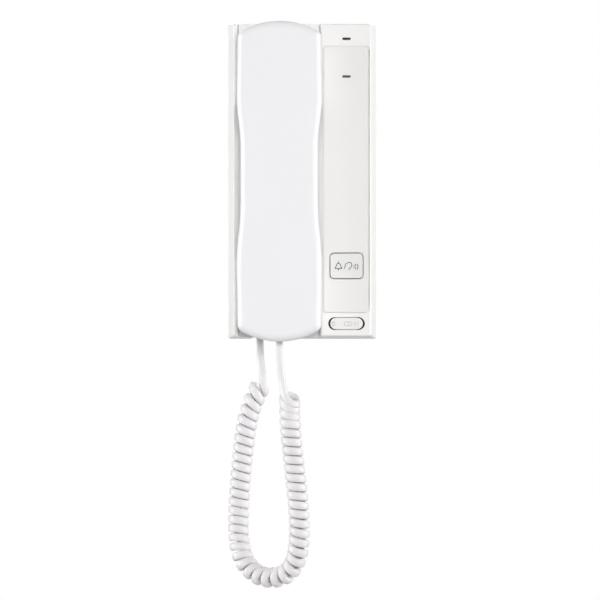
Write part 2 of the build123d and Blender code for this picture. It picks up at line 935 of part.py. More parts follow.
def make_hook_spring():
    """A leaf that lies on the board and bends up to the lever's arm."""
    seat = main_board_front
    tip = hook_arm_back - spring_seat_gap - spring_thickness
    leaf = Polygon(
        (-seat, spring_low), (-seat, spring_bend), (-tip, spring_tip),
        (-tip - spring_thickness, spring_tip),
        (-seat - spring_thickness, spring_bend), (-seat - spring_thickness, spring_low),
        align=None)
    return sideways(leaf, handset_x - spring_width / 2, handset_x + spring_width / 2)


def make_hook_switch():
    front = main_board_front + hook_switch_height
    body = block(
        handset_x - hook_switch_size / 2, handset_x + hook_switch_size / 2,
        hook_switch_z - hook_switch_size / 2, hook_switch_z + hook_switch_size / 2,
        main_board_front, front)
    return body + post(
        plunger_radius, front, front + hook_plunger_height, handset_x, hook_switch_z)


def make_cradle_pads():
    return [
        post(pad_radius, pocket_floor, pocket_floor + pad_height,
             cradle_x + side * pad_spacing / 2, z)
        for z in (upper_pad_z, lower_pad_z) for side in (-1, 1)
    ]


# Handset: one outline, moved inwards for the shells and their hollows


def side_line(half, waist, upper_shoulder, lower_shoulder, corner_half):
    """The right side, top to bottom: two gentle bends in to the waist and out again."""
    middle = (half + waist) / 2
    upper = (neck_top + waist_top) / 2
    lower = (neck_bottom + waist_bottom) / 2
    down = (0, -1)
    first = TangentArc((half, neck_top), (middle, upper), tangent=down)
    second = TangentArc((middle, upper), (waist, waist_top), tangent=first % 1)
    third = TangentArc((waist, waist_bottom), (middle, lower), tangent=down)
    fourth = TangentArc((middle, lower), (half, neck_bottom), tangent=third % 1)
    return [
        Line((corner_half, upper_shoulder), (half, neck_top)), first, second,
        Line((waist, waist_top), (waist, waist_bottom)), third, fourth,
        Line((half, neck_bottom), (corner_half, lower_shoulder)),
    ]


def handset_outline(inset):
    """The handset seen from the front, with curved ends, moved inwards by inset."""
    half = end_half_width - inset
    waist = waist_half_width - inset
    corner_half = shoulder_half_width - inset
    top = end_shoulder_top - inset
    bottom = end_shoulder_bottom + inset
    right = side_line(half, waist, top, bottom, corner_half)
    left = [mirror(edge, about=Plane.YZ) for edge in right]
    ends = [
        ThreePointArc((-corner_half, top), (0, handset_top - inset), (corner_half, top)),
        ThreePointArc(
            (-corner_half, bottom), (0, handset_bottom + inset), (corner_half, bottom)),
    ]
    outline = make_face(Curve() + right + left + ends)
    corners = outline.vertices().filter_by(
        lambda v: abs(v.Y) > neck_top + corner_half and abs(v.X) > waist)
    return fillet(corners, max(outline_corner - inset, shell_wall))


def outer_form():
    """The front half of the handset: bowed face and rounded edges."""
    solid = plate(handset_outline(0), parting_depth, handset_front + overrun, handset_x)
    middle = (handset_top + handset_bottom) / 2
    top = handset_top + overrun
    bottom = handset_bottom - overrun
    face = ThreePointArc(
        (-handset_front + face_bow, top), (-handset_front, middle),
        (-handset_front + face_bow, bottom))
    back = Polyline(
        (-handset_front + face_bow, bottom), (-parting_depth, bottom),
        (-parting_depth, top), (-handset_front + face_bow, top))
    profile = make_face(Curve() + face + back)
    solid &= sideways(profile, -base_width, base_width)
    front_edges = solid.faces().sort_by(Axis.Y)[0].edges()
    return fillet(front_edges, face_round)


def back_profile(inset):
    """The handset's back seen from the side: two bosses and the waist between them."""
    return Polygon(
        (-parting_depth, handset_top - shell_step - inset),
        (-boss_end_depth, boss_top_step - inset),
        (-boss_back - inset, boss_top - inset),
        (-boss_back - inset, upper_boss_low + inset),
        (-boss_shoulder, upper_boss_step + inset),
        (-waist_back - inset, upper_waist + inset),
        (-waist_back - inset, lower_waist - inset),
        (-boss_shoulder, lower_boss_step - inset),
        (-boss_back - inset, lower_boss_high - inset),
        (-boss_back - inset, boss_bottom + inset),
        (-boss_end_depth, boss_bottom_step + inset),
        (-parting_depth, handset_bottom + shell_step + inset),
        align=None)


def inner_form(inset):
    """The back half of the handset, moved inwards by inset."""
    solid = plate(
        handset_outline(shell_step + inset), boss_back - overrun, parting_depth, handset_x)
    return solid & sideways(back_profile(inset), -base_width, base_width)


def jack_mouth(x, depth, low, high):
    """The opening that a plug passes, through the end of a shell."""
    half_width = plug_width / 2 + jack_gap
    half_height = plug_height / 2 + latch_gap + latch_thickness + jack_gap
    return block(
        x - half_width, x + half_width, low, high, depth - half_height, depth + half_height)


def jack_room():
    """The space that the handset's jack fills, with a small gap round it."""
    return block(
        handset_x - jack_width / 2 - jack_gap, handset_x + jack_width / 2 + jack_gap,
        handset_jack_mouth - overrun, handset_jack_mouth + jack_length,
        handset_jack_depth - jack_height / 2, handset_jack_depth + jack_height / 2 + jack_gap)


def make_handset_outer_shell():
    shell = outer_form()
    shell -= plate(
        handset_outline(shell_step + shell_wall), parting_depth, face_cavity, handset_x)
    for side in (-1, 1):
        z = side * handset_screw_z
        shell += post(handset_post_radius, parting_depth, face_cavity + shell_wall / 2,
                      handset_x, z)
        shell -= post(
            screw_radius + pilot_gap, parting_depth, waist_back + screw_sink
            + handset_screw_length + screw_head_height, handset_x, z)
    return shell - jack_room()


def make_handset_inner_shell():
    shell = inner_form(0) - inner_form(shell_wall)
    floor = boss_back + shell_wall
    for z, radius in ((receiver_z, receiver_radius), (mic_z, mic_radius + boot_wall)):
        ring = post(radius + seat_gap + seat_wall, floor, floor + seat_height, handset_x, z)
        ring -= post(radius + seat_gap, floor, floor + seat_height, handset_x, z)
        shell += ring
    for step in range(sound_ring_count):
        angle = 2 * math.pi * step / sound_ring_count
        shell -= post(
            sound_hole_radius, boss_back, floor,
            handset_x + sound_ring_radius * math.cos(angle),
            receiver_z + sound_ring_radius * math.sin(angle))
    shell -= post(sound_hole_radius, boss_back, floor, handset_x, receiver_z)
    for step in (-1, 0, 1):
        shell -= post(
            sound_hole_radius / 2, boss_back, floor,
            handset_x + step * mic_hole_spacing, mic_z)
    saddle = block(
        handset_x - jack_width / 2, handset_x + jack_width / 2,
        handset_jack_mouth + shell_wall, handset_jack_mouth + jack_length,
        boss_back + shell_wall / 2, handset_jack_depth - jack_height / 2)
    shell += saddle & inner_form(shell_wall / 2)
    for side in (-1, 1):
        z = side * handset_screw_z
        shell -= post(screw_radius + hole_gap, 0, parting_depth, handset_x, z)
        shell -= post(
            screw_head_radius + hole_gap, 0, waist_back + screw_sink, handset_x, z)
    return shell - jack_room()


def make_handset_screws():
    return [
        screw(handset_x, side * handset_screw_z,
              waist_back + screw_sink - screw_head_height, 1, handset_screw_length)
        for side in (-1, 1)
    ]


def make_receiver_gasket():
    floor = boss_back + shell_wall
    ring = post(receiver_radius, floor, floor + gasket_thickness, handset_x, receiver_z)
    return ring - post(gasket_bore, floor, floor + gasket_thickness, handset_x, receiver_z)


def make_receiver_capsule():
    back = boss_back + shell_wall + gasket_thickness
    rim_front = back + receiver_height / 3
    capsule = post(receiver_radius, back, rim_front, handset_x, receiver_z)
    return capsule + post(
        gasket_bore, rim_front, back + receiver_height, handset_x, receiver_z)


def make_microphone_boot():
    floor = boss_back + shell_wall
    outer = mic_radius + boot_wall
    boot = post(outer, floor, floor + boot_base + mic_height, handset_x, mic_z)
    boot -= post(
        mic_radius, floor + boot_base, floor + boot_base + mic_height, handset_x, mic_z)
    return boot - post(mic_radius / 2, floor, floor + boot_base, handset_x, mic_z)


def make_microphone():
    back = boss_back + shell_wall + boot_base
    return post(mic_radius, back, back + mic_height, handset_x, mic_z)


def make_handset_weight():
    back = waist_back + shell_wall
    return block(
        handset_x - weight_width / 2, handset_x + weight_width / 2,
        -weight_length / 2, weight_length / 2, back, back + weight_height)


def make_cord_jack(x, depth, mouth):
    """A socket for the cord's plug, with its mouth down."""
    jack = block(
        x - jack_width / 2, x + jack_width / 2, mouth, mouth + jack_length,
        depth - jack_height / 2, depth + jack_height / 2)
    half_width = plug_width / 2 + jack_gap
    half_height = plug_height / 2 + jack_gap
    jack -= block(
        x - half_width, x + half_width, mouth, mouth + plug_length + jack_gap,
        depth - half_height, depth + half_height)
    half_latch = latch_width / 2 + jack_gap
    return jack - block(
        x - half_latch, x + half_latch, mouth, mouth + plug_length + jack_gap,
        depth, depth + plug_height / 2 + latch_gap + latch_thickness + jack_gap / 2)


def make_cord_plug(x, depth, mouth):
    """The plug on the cord, seated in its jack, with its latch towards the front."""
    body = block(
        x - plug_width / 2, x + plug_width / 2, mouth, mouth + plug_length,
        depth - plug_height / 2, depth + plug_height / 2)
    latch_back = depth + plug_height / 2
    latch = block(
        x - latch_width / 2, x + latch_width / 2, mouth + latch_end, mouth + plug_length,
        latch_back + latch_gap, latch_back + latch_gap + latch_thickness)
    neck = block(
        x - latch_width / 2, x + latch_width / 2, mouth + plug_length - latch_end,
        mouth + plug_length, latch_back, latch_back + latch_gap)
    return body + neck + latch


def make_base_lead():
    """The flat lead from the base's cord jack to the main board."""
    top = base_jack_mouth + jack_length
    tail = main_board_bottom + 2 * lead_width
    lead = block(
        base_jack_x - lead_width / 2, base_jack_x + lead_width / 2, top, tail,
        main_board_front, main_board_front + lead_thickness)
    return lead


def make_handset_lead():
    """The flat lead from the handset's cord jack to the receiver."""
    start = handset_jack_mouth + jack_length
    level = handset_jack_depth + lead_gap
    over_weight = waist_back + shell_wall + weight_height + lead_gap
    end = receiver_z - gasket_bore / 2
    receiver_face = boss_back + shell_wall + gasket_thickness + receiver_height
    run = [
        (level, start), (level, lower_boss_high),
        (over_weight, -handset_screw_z + handset_post_radius),
        (over_weight, handset_screw_z - handset_post_radius),
        (level, upper_boss_low), (receiver_face, end),
    ]
    strip = [(-depth, z) for depth, z in run]
    strip += [(-depth - lead_thickness, z) for depth, z in reversed(run)]
    x = handset_x + handset_post_radius + joint_gap
    return sideways(Polygon(*strip, align=None), x, x + lead_width)


# Cord: straight runs joined by arcs, and a coil wound round a smooth middle line


def unit(vector):
    return vector / np.linalg.norm(vector)


def corner_radii(points):
    """For each corner, 0.45 of its shorter run over the tangent of half the turn."""
    runs = np.diff(points, axis=0)
    lengths = np.linalg.norm(runs, axis=1)
    radii = []
    for before, after, a, b in zip(runs, runs[1:], lengths, lengths[1:]):
        turn = math.acos(np.dot(before, after) / (a * b))
        radii.append(fillet_share * min(a, b) / math.tan(turn / 2))
    return radii


def make_cord_run(name, points):
    """A straight stretch of the cord, as runs and tangent arcs, swept with a circle."""
    radii = corner_radii(points)
    path = FilletPolyline(*map(tuple, points), radius=radii)
    start = Plane(origin=tuple(points[0]), z_dir=tuple(points[1] - points[0]))
    run = sweep(start * Circle(wire_diameter / 2), path=path)
    expected = path.length * math.pi * wire_diameter ** 2 / 4
    print(name, "radii", [round(float(r), 1) for r in radii], "length", round(path.length, 1),
          "volume", round(run.volume / expected, 4), "of section times length")
    return run


def smooth_line(points):
    """A curve of parabolas that leaves the first point and ends in the last one.

    Each parabola runs between the middles of two neighbouring legs and is drawn to the
    point where these legs meet.
    """
    points = np.array(points)
    joints = (points[:-1] + points[1:]) / 2
    joints[0], joints[-1] = points[0], points[-1]
    t = np.linspace(0, 1, parabola_steps)[:, None]
    pieces = [
        (1 - t) ** 2 * a + 2 * t * (1 - t) * p + t ** 2 * b
        for a, p, b in zip(joints, points[1:-1], joints[1:])
    ]
    line = np.vstack(pieces)
    travelled = np.r_[0, np.cumsum(np.linalg.norm(np.diff(line, axis=0), axis=1))]
    steps = np.linspace(0, travelled[-1], int(travelled[-1] / route_step))
    return np.column_stack([np.interp(steps, travelled, line[:, k]) for k in range(3)]), steps


def square_to(vector, direction):
    """The part of vector that is square to direction, as a unit vector."""
    return unit(vector - np.dot(vector, direction) * direction)


def coil_ends():
    """Where the coil's straight ends stop, their direction, and the first point of its middle."""
    ends = []
    for points, side in ((base_run, base_run_side), (handset_run, handset_run_side)):
        direction = unit(points[-1] - points[-2])
        last = points[-1] + direction * wire_diameter
        outward = square_to(np.array(side), direction)
        ends.append((points[-1], last, direction, outward))
    return ends


def winding(line, steps, turns, ramp):
    """The angle turned at each step: even turns, wider round the bend, easing in at the ends."""
    tangents = np.gradient(line, steps, axis=0)
    bend = np.linalg.norm(np.gradient(tangents, steps, axis=0), axis=1)
    window = np.ones(2 * bend_window + 1) / (2 * bend_window + 1)
    smooth = np.convolve(np.pad(bend, bend_window, mode="edge"), window, mode="valid")
    ease = np.clip(np.minimum(steps, steps[-1] - steps) / ramp, 0, 1)
    rate = ease ** 2 * (3 - 2 * ease) * (1 - bend_opening_share * smooth / smooth.max())
    angle = np.r_[0, np.cumsum((rate[:-1] + rate[1:]) / 2 * np.diff(steps))]
    return angle / angle[-1] * turns * 2 * math.pi


def coil_line():
    """The wire's middle line through the coil, as places, directions and angles turned."""
    radius = (coil_diameter - wire_diameter) / 2
    (_, first, _, out_a), (_, last, _, out_b) = coil_ends()
    route = [first - out_a * radius, *coil_middle, last - out_b * radius]
    line, steps = smooth_line(route)
    tangents = np.gradient(line, steps, axis=0)
    tangents /= np.linalg.norm(tangents, axis=1)[:, None]
    carried = [square_to(out_a, tangents[0])]
    for tangent in tangents[1:]:
        carried.append(square_to(carried[-1], tangent))
    carried = np.array(carried)
    across = np.cross(tangents, carried)
    # A left-handed helix turns against its direction of travel
    wanted = square_to(out_b, tangents[-1])
    rest = -math.atan2(np.dot(wanted, across[-1]), np.dot(wanted, carried[-1]))
    turns = coil_whole_turns + rest / (2 * math.pi)
    angle = winding(line, steps, turns, coil_ramp)
    wire = line + radius * (
        np.cos(angle)[:, None] * carried - np.sin(angle)[:, None] * across)
    return wire, steps, angle, turns


def biarc(a, direction_a, b, direction_b):
    """Two arcs that leave a and reach b in the given directions, and join smoothly."""
    chord = b - a
    both = direction_a + direction_b
    slope = np.dot(chord, both)
    fold = 2 * (1 - np.dot(direction_a, direction_b))
    length = (-slope + math.sqrt(slope ** 2 + fold * np.dot(chord, chord))) / fold
    middle = (a + b + length * (direction_a - direction_b)) / 2
    first = Edge.make_tangent_arc(tuple(a), tuple(direction_a), tuple(middle))
    second = Edge.make_tangent_arc(tuple(middle), tuple(first % 1), tuple(b))
    return [first, second]


def make_cord_coil():
    """The curly cord as one unbroken tube, with a straight end on each side."""
    wire, steps, angle, turns = coil_line()
    half_turns = np.arange(0, angle[-1], math.pi)[1:-1]
    marks = np.r_[0, math.pi / 2, half_turns[half_turns < angle[-1] - math.pi],
                  angle[-1] - math.pi / 2, angle[-1]]
    places = np.column_stack([np.interp(marks, angle, wire[:, k]) for k in range(3)])
    slopes = np.gradient(wire, steps, axis=0)
    ways = np.column_stack([np.interp(marks, angle, slopes[:, k]) for k in range(3)])
    ways /= np.linalg.norm(ways, axis=1)[:, None]
    (start, first, into, _), (stop, last, back, _) = coil_ends()
    ways[0], ways[-1] = into, -back
    places[0], places[-1] = first, last
    edges = [Edge.make_line(tuple(start), tuple(first))]
    for a, way_a, b, way_b in zip(places, ways, places[1:], ways[1:]):
        edges += biarc(a, way_a, b, way_b)
    edges.append(Edge.make_line(tuple(last), tuple(stop)))
    path = Wire(edges)
    ring = Plane(origin=tuple(start), z_dir=tuple(into)) * Circle(wire_diameter / 2)
    coil = sweep(ring, path=path)
    report_coil(edges, path, coil, turns)
    return coil


def report_coil(edges, path, coil, turns):
    """Print the coil's length, tightest arc and least gap to itself."""
    radii = [edge.radius for edge in edges if edge.geom_type == GeomType.CIRCLE]
    spots = np.vstack([
        [tuple(edge @ share) for share in
         np.linspace(0, 1, max(int(edge.length / gap_step), 2), endpoint=False)]
        for edge in edges
    ])
    travelled = np.r_[0, np.cumsum(np.linalg.norm(np.diff(spots, axis=0), axis=1))]
    turn_length = math.pi * (coil_diameter - wire_diameter)
    least = math.inf
    for k, spot in enumerate(spots):
        later = travelled > travelled[k] + turn_length * turn_length_share
        if later.any():
            least = min(least, np.linalg.norm(spots[later] - spot, axis=1).min())
    expected = path.length * math.pi * wire_diameter ** 2 / 4
    print("cord_coil turns", round(turns, 2), "length", round(path.length, 1),
          "least radius", round(min(radii), 2), "least gap", round(least - wire_diameter, 2),
          "volume", round(coil.volume / expected, 4), "of section times length")


def nodes():
    """Every piece of the station by its name."""
    return {
        "wall_bracket": make_wall_bracket(),
        "rear_case": make_rear_case(),
        "front_cover": make_front_cover(),
        "case_screws": make_case_screws(),
        "control_panel": make_control_panel(),
        "call_button": make_call_button(),
        "volume_key": make_volume_key(),
        "volume_key_pin": make_volume_pin(),
        "transmit_lens": make_lens(upper_lens_z),
        "status_lens": make_lens(lower_lens_z),
        "key_board": make_key_board(),
        "key_board_screws": make_key_board_screws(),
        "call_switch": make_switch(controls_x, button_z),
        "volume_switches": make_volume_switches(),
        "indicator_leds": make_indicator_leds(),
        "main_board": make_main_board(),
        "board_screws": make_board_screws(),
        "board_parts": make_board_parts(),
        "board_link": make_board_link(),
        "network_jack": make_network_jack(),
        "ringer_speaker": make_ringer_speaker(),
        "hook_lever": make_hook_lever(),
        "hook_pin": make_hook_pin(),
        "hook_spring": make_hook_spring(),
        "hook_switch": make_hook_switch(),
        "cradle_pads": make_cradle_pads(),
        "base_cord_jack": make_cord_jack(base_jack_x, base_jack_depth, base_jack_mouth),
        "base_cord_lead": make_base_lead(),
        "base_cord_plug": make_cord_plug(base_jack_x, base_jack_depth, base_jack_mouth),
        "handset_outer_shell": make_handset_outer_shell(),
        "handset_inner_shell": make_handset_inner_shell(),
        "handset_screws": make_handset_screws(),
        "receiver_gasket": make_receiver_gasket(),
        "receiver_capsule": make_receiver_capsule(),
        "microphone_boot": make_microphone_boot(),
        "microphone": make_microphone(),
        "handset_weight": make_handset_weight(),
        "handset_cord_jack": make_cord_jack(handset_x, handset_jack_depth, handset_jack_mouth),
        "handset_cord_lead": make_handset_lead(),
        "handset_cord_plug": make_cord_plug(handset_x, handset_jack_depth, handset_jack_mouth),
        "cord_base_run": make_cord_run("cord_base_run", base_run),
        "cord_coil": make_cord_coil(),
        "cord_handset_run": make_cord_run("cord_handset_run", handset_run),
    }


def save(name, piece):
    """Write one piece, or a group of separate solids, to its file."""
    if isinstance(piece, list):
        piece = Compound(children=[solid for item in piece for solid in item.solids()])
    export_step(piece, os.path.join("parts", name + ".step"))


if __name__ == "__main__":
    os.makedirs("parts", exist_ok=True)
    for name, piece in nodes().items():
        save(name, piece)
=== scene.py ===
"""Looks of an audio intercom handset station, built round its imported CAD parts.

X runs to the right, Z up, and the wall is the plane Y = 0. All lengths are in metres.
"""

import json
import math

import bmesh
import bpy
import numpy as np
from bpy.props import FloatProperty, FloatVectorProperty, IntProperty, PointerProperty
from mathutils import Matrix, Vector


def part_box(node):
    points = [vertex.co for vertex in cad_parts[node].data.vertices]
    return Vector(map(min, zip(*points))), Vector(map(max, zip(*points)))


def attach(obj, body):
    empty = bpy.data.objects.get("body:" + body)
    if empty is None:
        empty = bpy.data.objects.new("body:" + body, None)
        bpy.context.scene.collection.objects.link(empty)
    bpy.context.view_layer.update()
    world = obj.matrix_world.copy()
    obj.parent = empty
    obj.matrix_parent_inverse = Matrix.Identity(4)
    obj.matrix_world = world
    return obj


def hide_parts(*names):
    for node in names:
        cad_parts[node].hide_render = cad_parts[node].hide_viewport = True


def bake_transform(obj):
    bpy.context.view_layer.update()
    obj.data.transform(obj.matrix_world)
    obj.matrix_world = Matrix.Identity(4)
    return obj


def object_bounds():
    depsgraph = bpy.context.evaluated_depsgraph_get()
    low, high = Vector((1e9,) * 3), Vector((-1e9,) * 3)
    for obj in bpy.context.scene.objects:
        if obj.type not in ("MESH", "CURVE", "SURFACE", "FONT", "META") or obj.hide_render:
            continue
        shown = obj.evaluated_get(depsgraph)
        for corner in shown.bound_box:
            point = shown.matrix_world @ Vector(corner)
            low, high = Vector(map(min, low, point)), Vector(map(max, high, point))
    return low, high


bl_info = {
    "name": "Intercom Handset Station",
    "version": (1, 0, 0),
    "blender": (4, 5, 0),
    "location": "3D View > Sidebar > Intercom",
    "description": "Curly cord, printed marks, fittings and finishes of a wall handset station",
    "category": "Object",
}

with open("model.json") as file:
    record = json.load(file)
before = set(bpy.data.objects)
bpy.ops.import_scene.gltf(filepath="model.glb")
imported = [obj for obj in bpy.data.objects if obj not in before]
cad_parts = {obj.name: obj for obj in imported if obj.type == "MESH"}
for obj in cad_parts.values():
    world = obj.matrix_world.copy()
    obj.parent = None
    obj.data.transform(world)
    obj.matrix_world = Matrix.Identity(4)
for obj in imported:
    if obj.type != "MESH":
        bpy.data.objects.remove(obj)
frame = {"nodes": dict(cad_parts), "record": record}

CAD_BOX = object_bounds()
MM = 0.001


# Every finish by its name, filled by the finishes operator
MATERIALS = {}

# Nodes whose finish isn't the usual one of their material slot: the board behind the
# volume key is black, painted shade that keeps the gap round the key dark
OWN_FINISH = {"key_board": "black_board"}


# Cord route: each straight run from its jack's mouth, and the coil's middle line from
# the point midway between the mouths. It is the CAD part's cord, with its two ends
# moved by 2 to 3 mm.

BASE_RUN = MM * np.array([
    (0.0, 0.0, 0.0), (0.0, 0.0, -7.0), (0.4, -2.6, -14.4), (1.4, -5.8, -21.2),
])
HANDSET_RUN = MM * np.array([
    (0.0, 0.0, 0.0), (0.0, 0.0, -7.5), (0.6, -0.9, -18.2), (2.0, -2.0, -28.2),
])
COIL_MIDDLE = MM * np.array([
    (-4.3, 12.7, -28.9), (-8.4, 12.5, -35.6), (-13.3, 12.6, -47.9), (-16.3, 12.8, -61.4),
    (-18.5, 12.6, -82.4), (-20.5, 12.0, -106.4), (-21.1, 10.8, -128.4), (-19.1, 8.6, -144.9),
    (-10.1, 4.6, -156.0), (1.0, 0.0, -158.8), (12.1, -4.6, -155.6), (18.7, -8.6, -143.9),
    (20.0, -11.4, -125.4), (18.5, -12.8, -103.4), (15.8, -13.6, -79.4), (13.5, -14.2, -58.4),
    (13.3, -14.8, -46.0), (13.2, -15.8, -38.2),
])

# The side on which the wire enters and leaves the coil, and how far each run leads on
BASE_SIDE = np.array([0.0, -1.0, 0.0])
HANDSET_SIDE = np.array([-0.66, -0.75, 0.0])
BASE_LEAD = 4.2 * MM
HANDSET_LEAD = 5.6 * MM

# Distance between the points of the coil and of the runs, and the points over which the
# coil's bend is averaged
COIL_STEP = 0.00018
RUN_STEP = 0.0009
BEND_POINTS = 111

# How far the turns lean: the share of the coil, then the lean along X and Y
LEAN = np.array([
    (0.0, 1.0, 0.0), (0.022, 0.60, 0.0), (0.045, 0.38, 0.0), (0.09, 0.15, 0.0),
    (0.16, 0.03, 0.0), (0.3, 0.0, 0.0), (0.42, 0.0, 0.2), (0.5, 0.0, 0.42), (0.6, 0.0, 0.25),
    (0.7, 0.0, 0.0), (0.92, 0.0, 0.0), (0.955, -0.2, 0.25), (0.98, -0.55, 0.7),
    (1.0, -0.95, 1.25),
])


# Fittings

# Middles of the screw heads that show: X and Z
CASE_SCREWS = MM * np.array([(-38.8, 96.4), (-38.8, -96.4), (41.6, 74.0), (41.6, -74.0)])
HANDSET_SCREWS = MM * np.array([(-15.0, 33.0), (-15.0, -33.0)])

# A recess, a thin dark cross of painted shade where the hollow would be, lies this deep
# in its screw head and stands proud by as much
RECESS_DEPTH = 0.02 * MM

# The line contacts: from the jack's back to the socket's floor, their rise from the floor,
# their start over the jack's lower end, their length and thickness
CONTACT_FLOOR = 2.9 * MM
CONTACT_RISE = 2.3 * MM
CONTACT_START = 3.0 * MM
CONTACT_LENGTH = 9.4 * MM
CONTACT_THICKNESS = 0.25 * MM


# Stage

LAMP_TARGET = Vector((0.0, -0.03, -0.05))
FLOOR_REACH = 0.9
FLOOR_SAG = 0.001
FLOOR_POINTS = 13

# Light that the floor gives to the camera alone, so that it looks nearly white
FLOOR_GLOW = 0.62


class CordSettings(bpy.types.PropertyGroup):
    """Sizes and colour of the curly cord"""

    straight_width: FloatProperty(
        name="Straight Width", description="Width of the cord where it isn't coiled",
        default=0.0049, min=0.001, unit="LENGTH")
    coiled_width: FloatProperty(
        name="Coiled Width", description="Width of the cord along the coil's legs",
        default=0.0055, min=0.001, unit="LENGTH")
    bend_width: FloatProperty(
        name="Bend Width", description="Width of the cord along the coil round its bend",
        default=0.0050, min=0.001, unit="LENGTH")
    thickness: FloatProperty(
        name="Thickness", description="Thickness of the cord across the coil",
        default=0.0042, min=0.001, unit="LENGTH")
    squareness: FloatProperty(
        name="Squareness", description="Power of the cord's section: 2 is an oval, more is squarer",
        default=2.8, min=2.0, max=8.0)
    coil_radius: FloatProperty(
        name="Coil Radius", description="Distance from the coil's middle line to the cord's",
        default=0.00485, min=0.002, unit="LENGTH")
    whole_turns: IntProperty(
        name="Whole Turns", description="Whole turns of the coil", default=45, min=4)
    ease: FloatProperty(
        name="Ease", description="Length of coil over which the turns set in",
        default=0.006, min=0.001, unit="LENGTH")
    bend_opening: FloatProperty(
        name="Bend Opening", description="How much further apart the turns are round the bend",
        default=0.12, min=0.0, max=0.6, subtype="FACTOR")
    end_opening: FloatProperty(
        name="End Opening", description="How much further apart the turns are at the base",
        default=0.42, min=0.0, max=0.6, subtype="FACTOR")
    end_reach: FloatProperty(
        name="End Reach", description="Length of coil over which the opening at the base fades",
        default=0.012, min=0.001, unit="LENGTH")
    colour: FloatVectorProperty(
        name="Colour", description="Colour of the cord's sheath", subtype="COLOR",
        size=3, default=(0.73, 0.712, 0.725), min=0.0, max=1.0)


class FinishSettings(bpy.types.PropertyGroup):
    """Colours, grain and painted side shade of the moulded parts"""

    housing: FloatVectorProperty(
        name="Housing", description="Colour of the cover and the case",
        subtype="COLOR", size=3, default=(0.825, 0.815, 0.80), min=0.0, max=1.0)
    handset: FloatVectorProperty(
        name="Handset", description="Colour of the handset's shells",
        subtype="COLOR", size=3, default=(0.80, 0.80, 0.815), min=0.0, max=1.0)
    panel: FloatVectorProperty(
        name="Panel", description="Colour of the control panel", subtype="COLOR",
        size=3, default=(0.755, 0.748, 0.737), min=0.0, max=1.0)
    button: FloatVectorProperty(
        name="Call Button", description="Colour of the call button", subtype="COLOR",
        size=3, default=(0.72, 0.712, 0.70), min=0.0, max=1.0)
    key: FloatVectorProperty(
        name="Volume Key", description="Colour of the volume key", subtype="COLOR",
        size=3, default=(0.775, 0.766, 0.75), min=0.0, max=1.0)
    # Painted shade: the keys' and the panel's sides are darkened to this share of the face's
    # colour, so their seams read dark
    sides: FloatProperty(
        name="Sides",
        description="Brightness of the keys' and the panel's sides, as a share of the face's",
        default=0.12, min=0.0, max=1.0, subtype="FACTOR")
    mark: FloatVectorProperty(
        name="Marks", description="Colour of the printed marks", subtype="COLOR",
        size=3, default=(0.055, 0.053, 0.05), min=0.0, max=1.0)
    grain: FloatProperty(
        name="Grain", description="Size of the fine texture in the moulded plastic",
        default=0.00035, min=0.00005, unit="LENGTH")


class MarkSettings(bpy.types.PropertyGroup):
    """Sizes of the printed marks"""

    line: FloatProperty(
        name="Line", description="Width of the printed lines", default=0.00048,
        min=0.0001, unit="LENGTH")
    ink: FloatProperty(
        name="Ink", description="Thickness of the printed ink", default=0.00003,
        min=0.00001, unit="LENGTH")
    clapper: FloatProperty(
        name="Clapper", description="Width of the line that fills the bell's clapper",
        default=0.0005, min=0.0001, unit="LENGTH")


class FittingSettings(bpy.types.PropertyGroup):
    """Sizes of the screw recesses and the line contacts"""

    recess_reach: FloatProperty(
        name="Recess Reach", description="Length of each arm of a screw's cross recess",
        default=0.0013, min=0.0003, unit="LENGTH")
    recess_width: FloatProperty(
        name="Recess Width", description="Width of a screw's cross recess",
        default=0.0006, min=0.0002, unit="LENGTH")
    contact_count: IntProperty(
        name="Contact Count", description="Contacts in the line socket", default=8, min=1)
    contact_pitch: FloatProperty(
        name="Contact Pitch", description="Distance from one contact to the next",
        default=0.00102, min=0.0005, unit="LENGTH")
    contact_width: FloatProperty(
        name="Contact Width", description="Width of a contact", default=0.00045,
        min=0.0001, unit="LENGTH")


class StageSettings(bpy.types.PropertyGroup):
    """Camera, lamps and floor"""

    view_distance: FloatProperty(
        name="View Distance", description="Distance from the wall to the camera",
        default=2.3, min=0.5, unit="LENGTH")
    view_width: FloatProperty(
        name="View Width", description="Width of the wall that fills the picture",
        default=0.401, min=0.1, unit="LENGTH")
    view_x: FloatProperty(
        name="View X", description="Place of the picture's middle along X",
        default=-0.0015, unit="LENGTH")
    view_z: FloatProperty(
        name="View Z", description="Height of the picture's middle",
        default=-0.0792, unit="LENGTH")
    side_power: FloatProperty(
        name="Side Lamps", description="Power of each side lamp", default=3.5,
        min=0.0, unit="POWER")
    front_power: FloatProperty(
        name="Front Lamp", description="Power of the lamp beside the camera", default=5.05,
        min=0.0, unit="POWER")
    back_power: FloatProperty(
        name="Back Lamp", description="Power of the lamp behind the wall", default=3.0,
        min=0.0, unit="POWER")
    world_above: FloatProperty(
        name="World Above", description="Strength of the light from all round and above",
        default=0.22, min=0.0, soft_max=1.0)
    world_below: FloatProperty(
        name="World Below", description="Strength of the light from below",
        default=0.08, min=0.0, soft_max=1.0)
    floor_drop: FloatProperty(
        name="Floor Drop", description="Distance from the cord's lowest point to the floor",
        default=0.3, min=0.0, unit="LENGTH")


# Meshes


def new_piece(name, vertices, faces, material, smooth=True):
    """A mesh object at the origin, with its place in its mesh."""
    mesh = bpy.data.meshes.new(name)
    mesh.from_pydata(vertices.tolist(), [], [list(map(int, face)) for face in faces])
    mesh.validate()
    mesh.polygons.foreach_set("use_smooth", [smooth] * len(mesh.polygons))
    mesh.materials.append(material)
    piece = bpy.data.objects.new(name, mesh)
    bpy.context.scene.collection.objects.link(piece)
    return piece


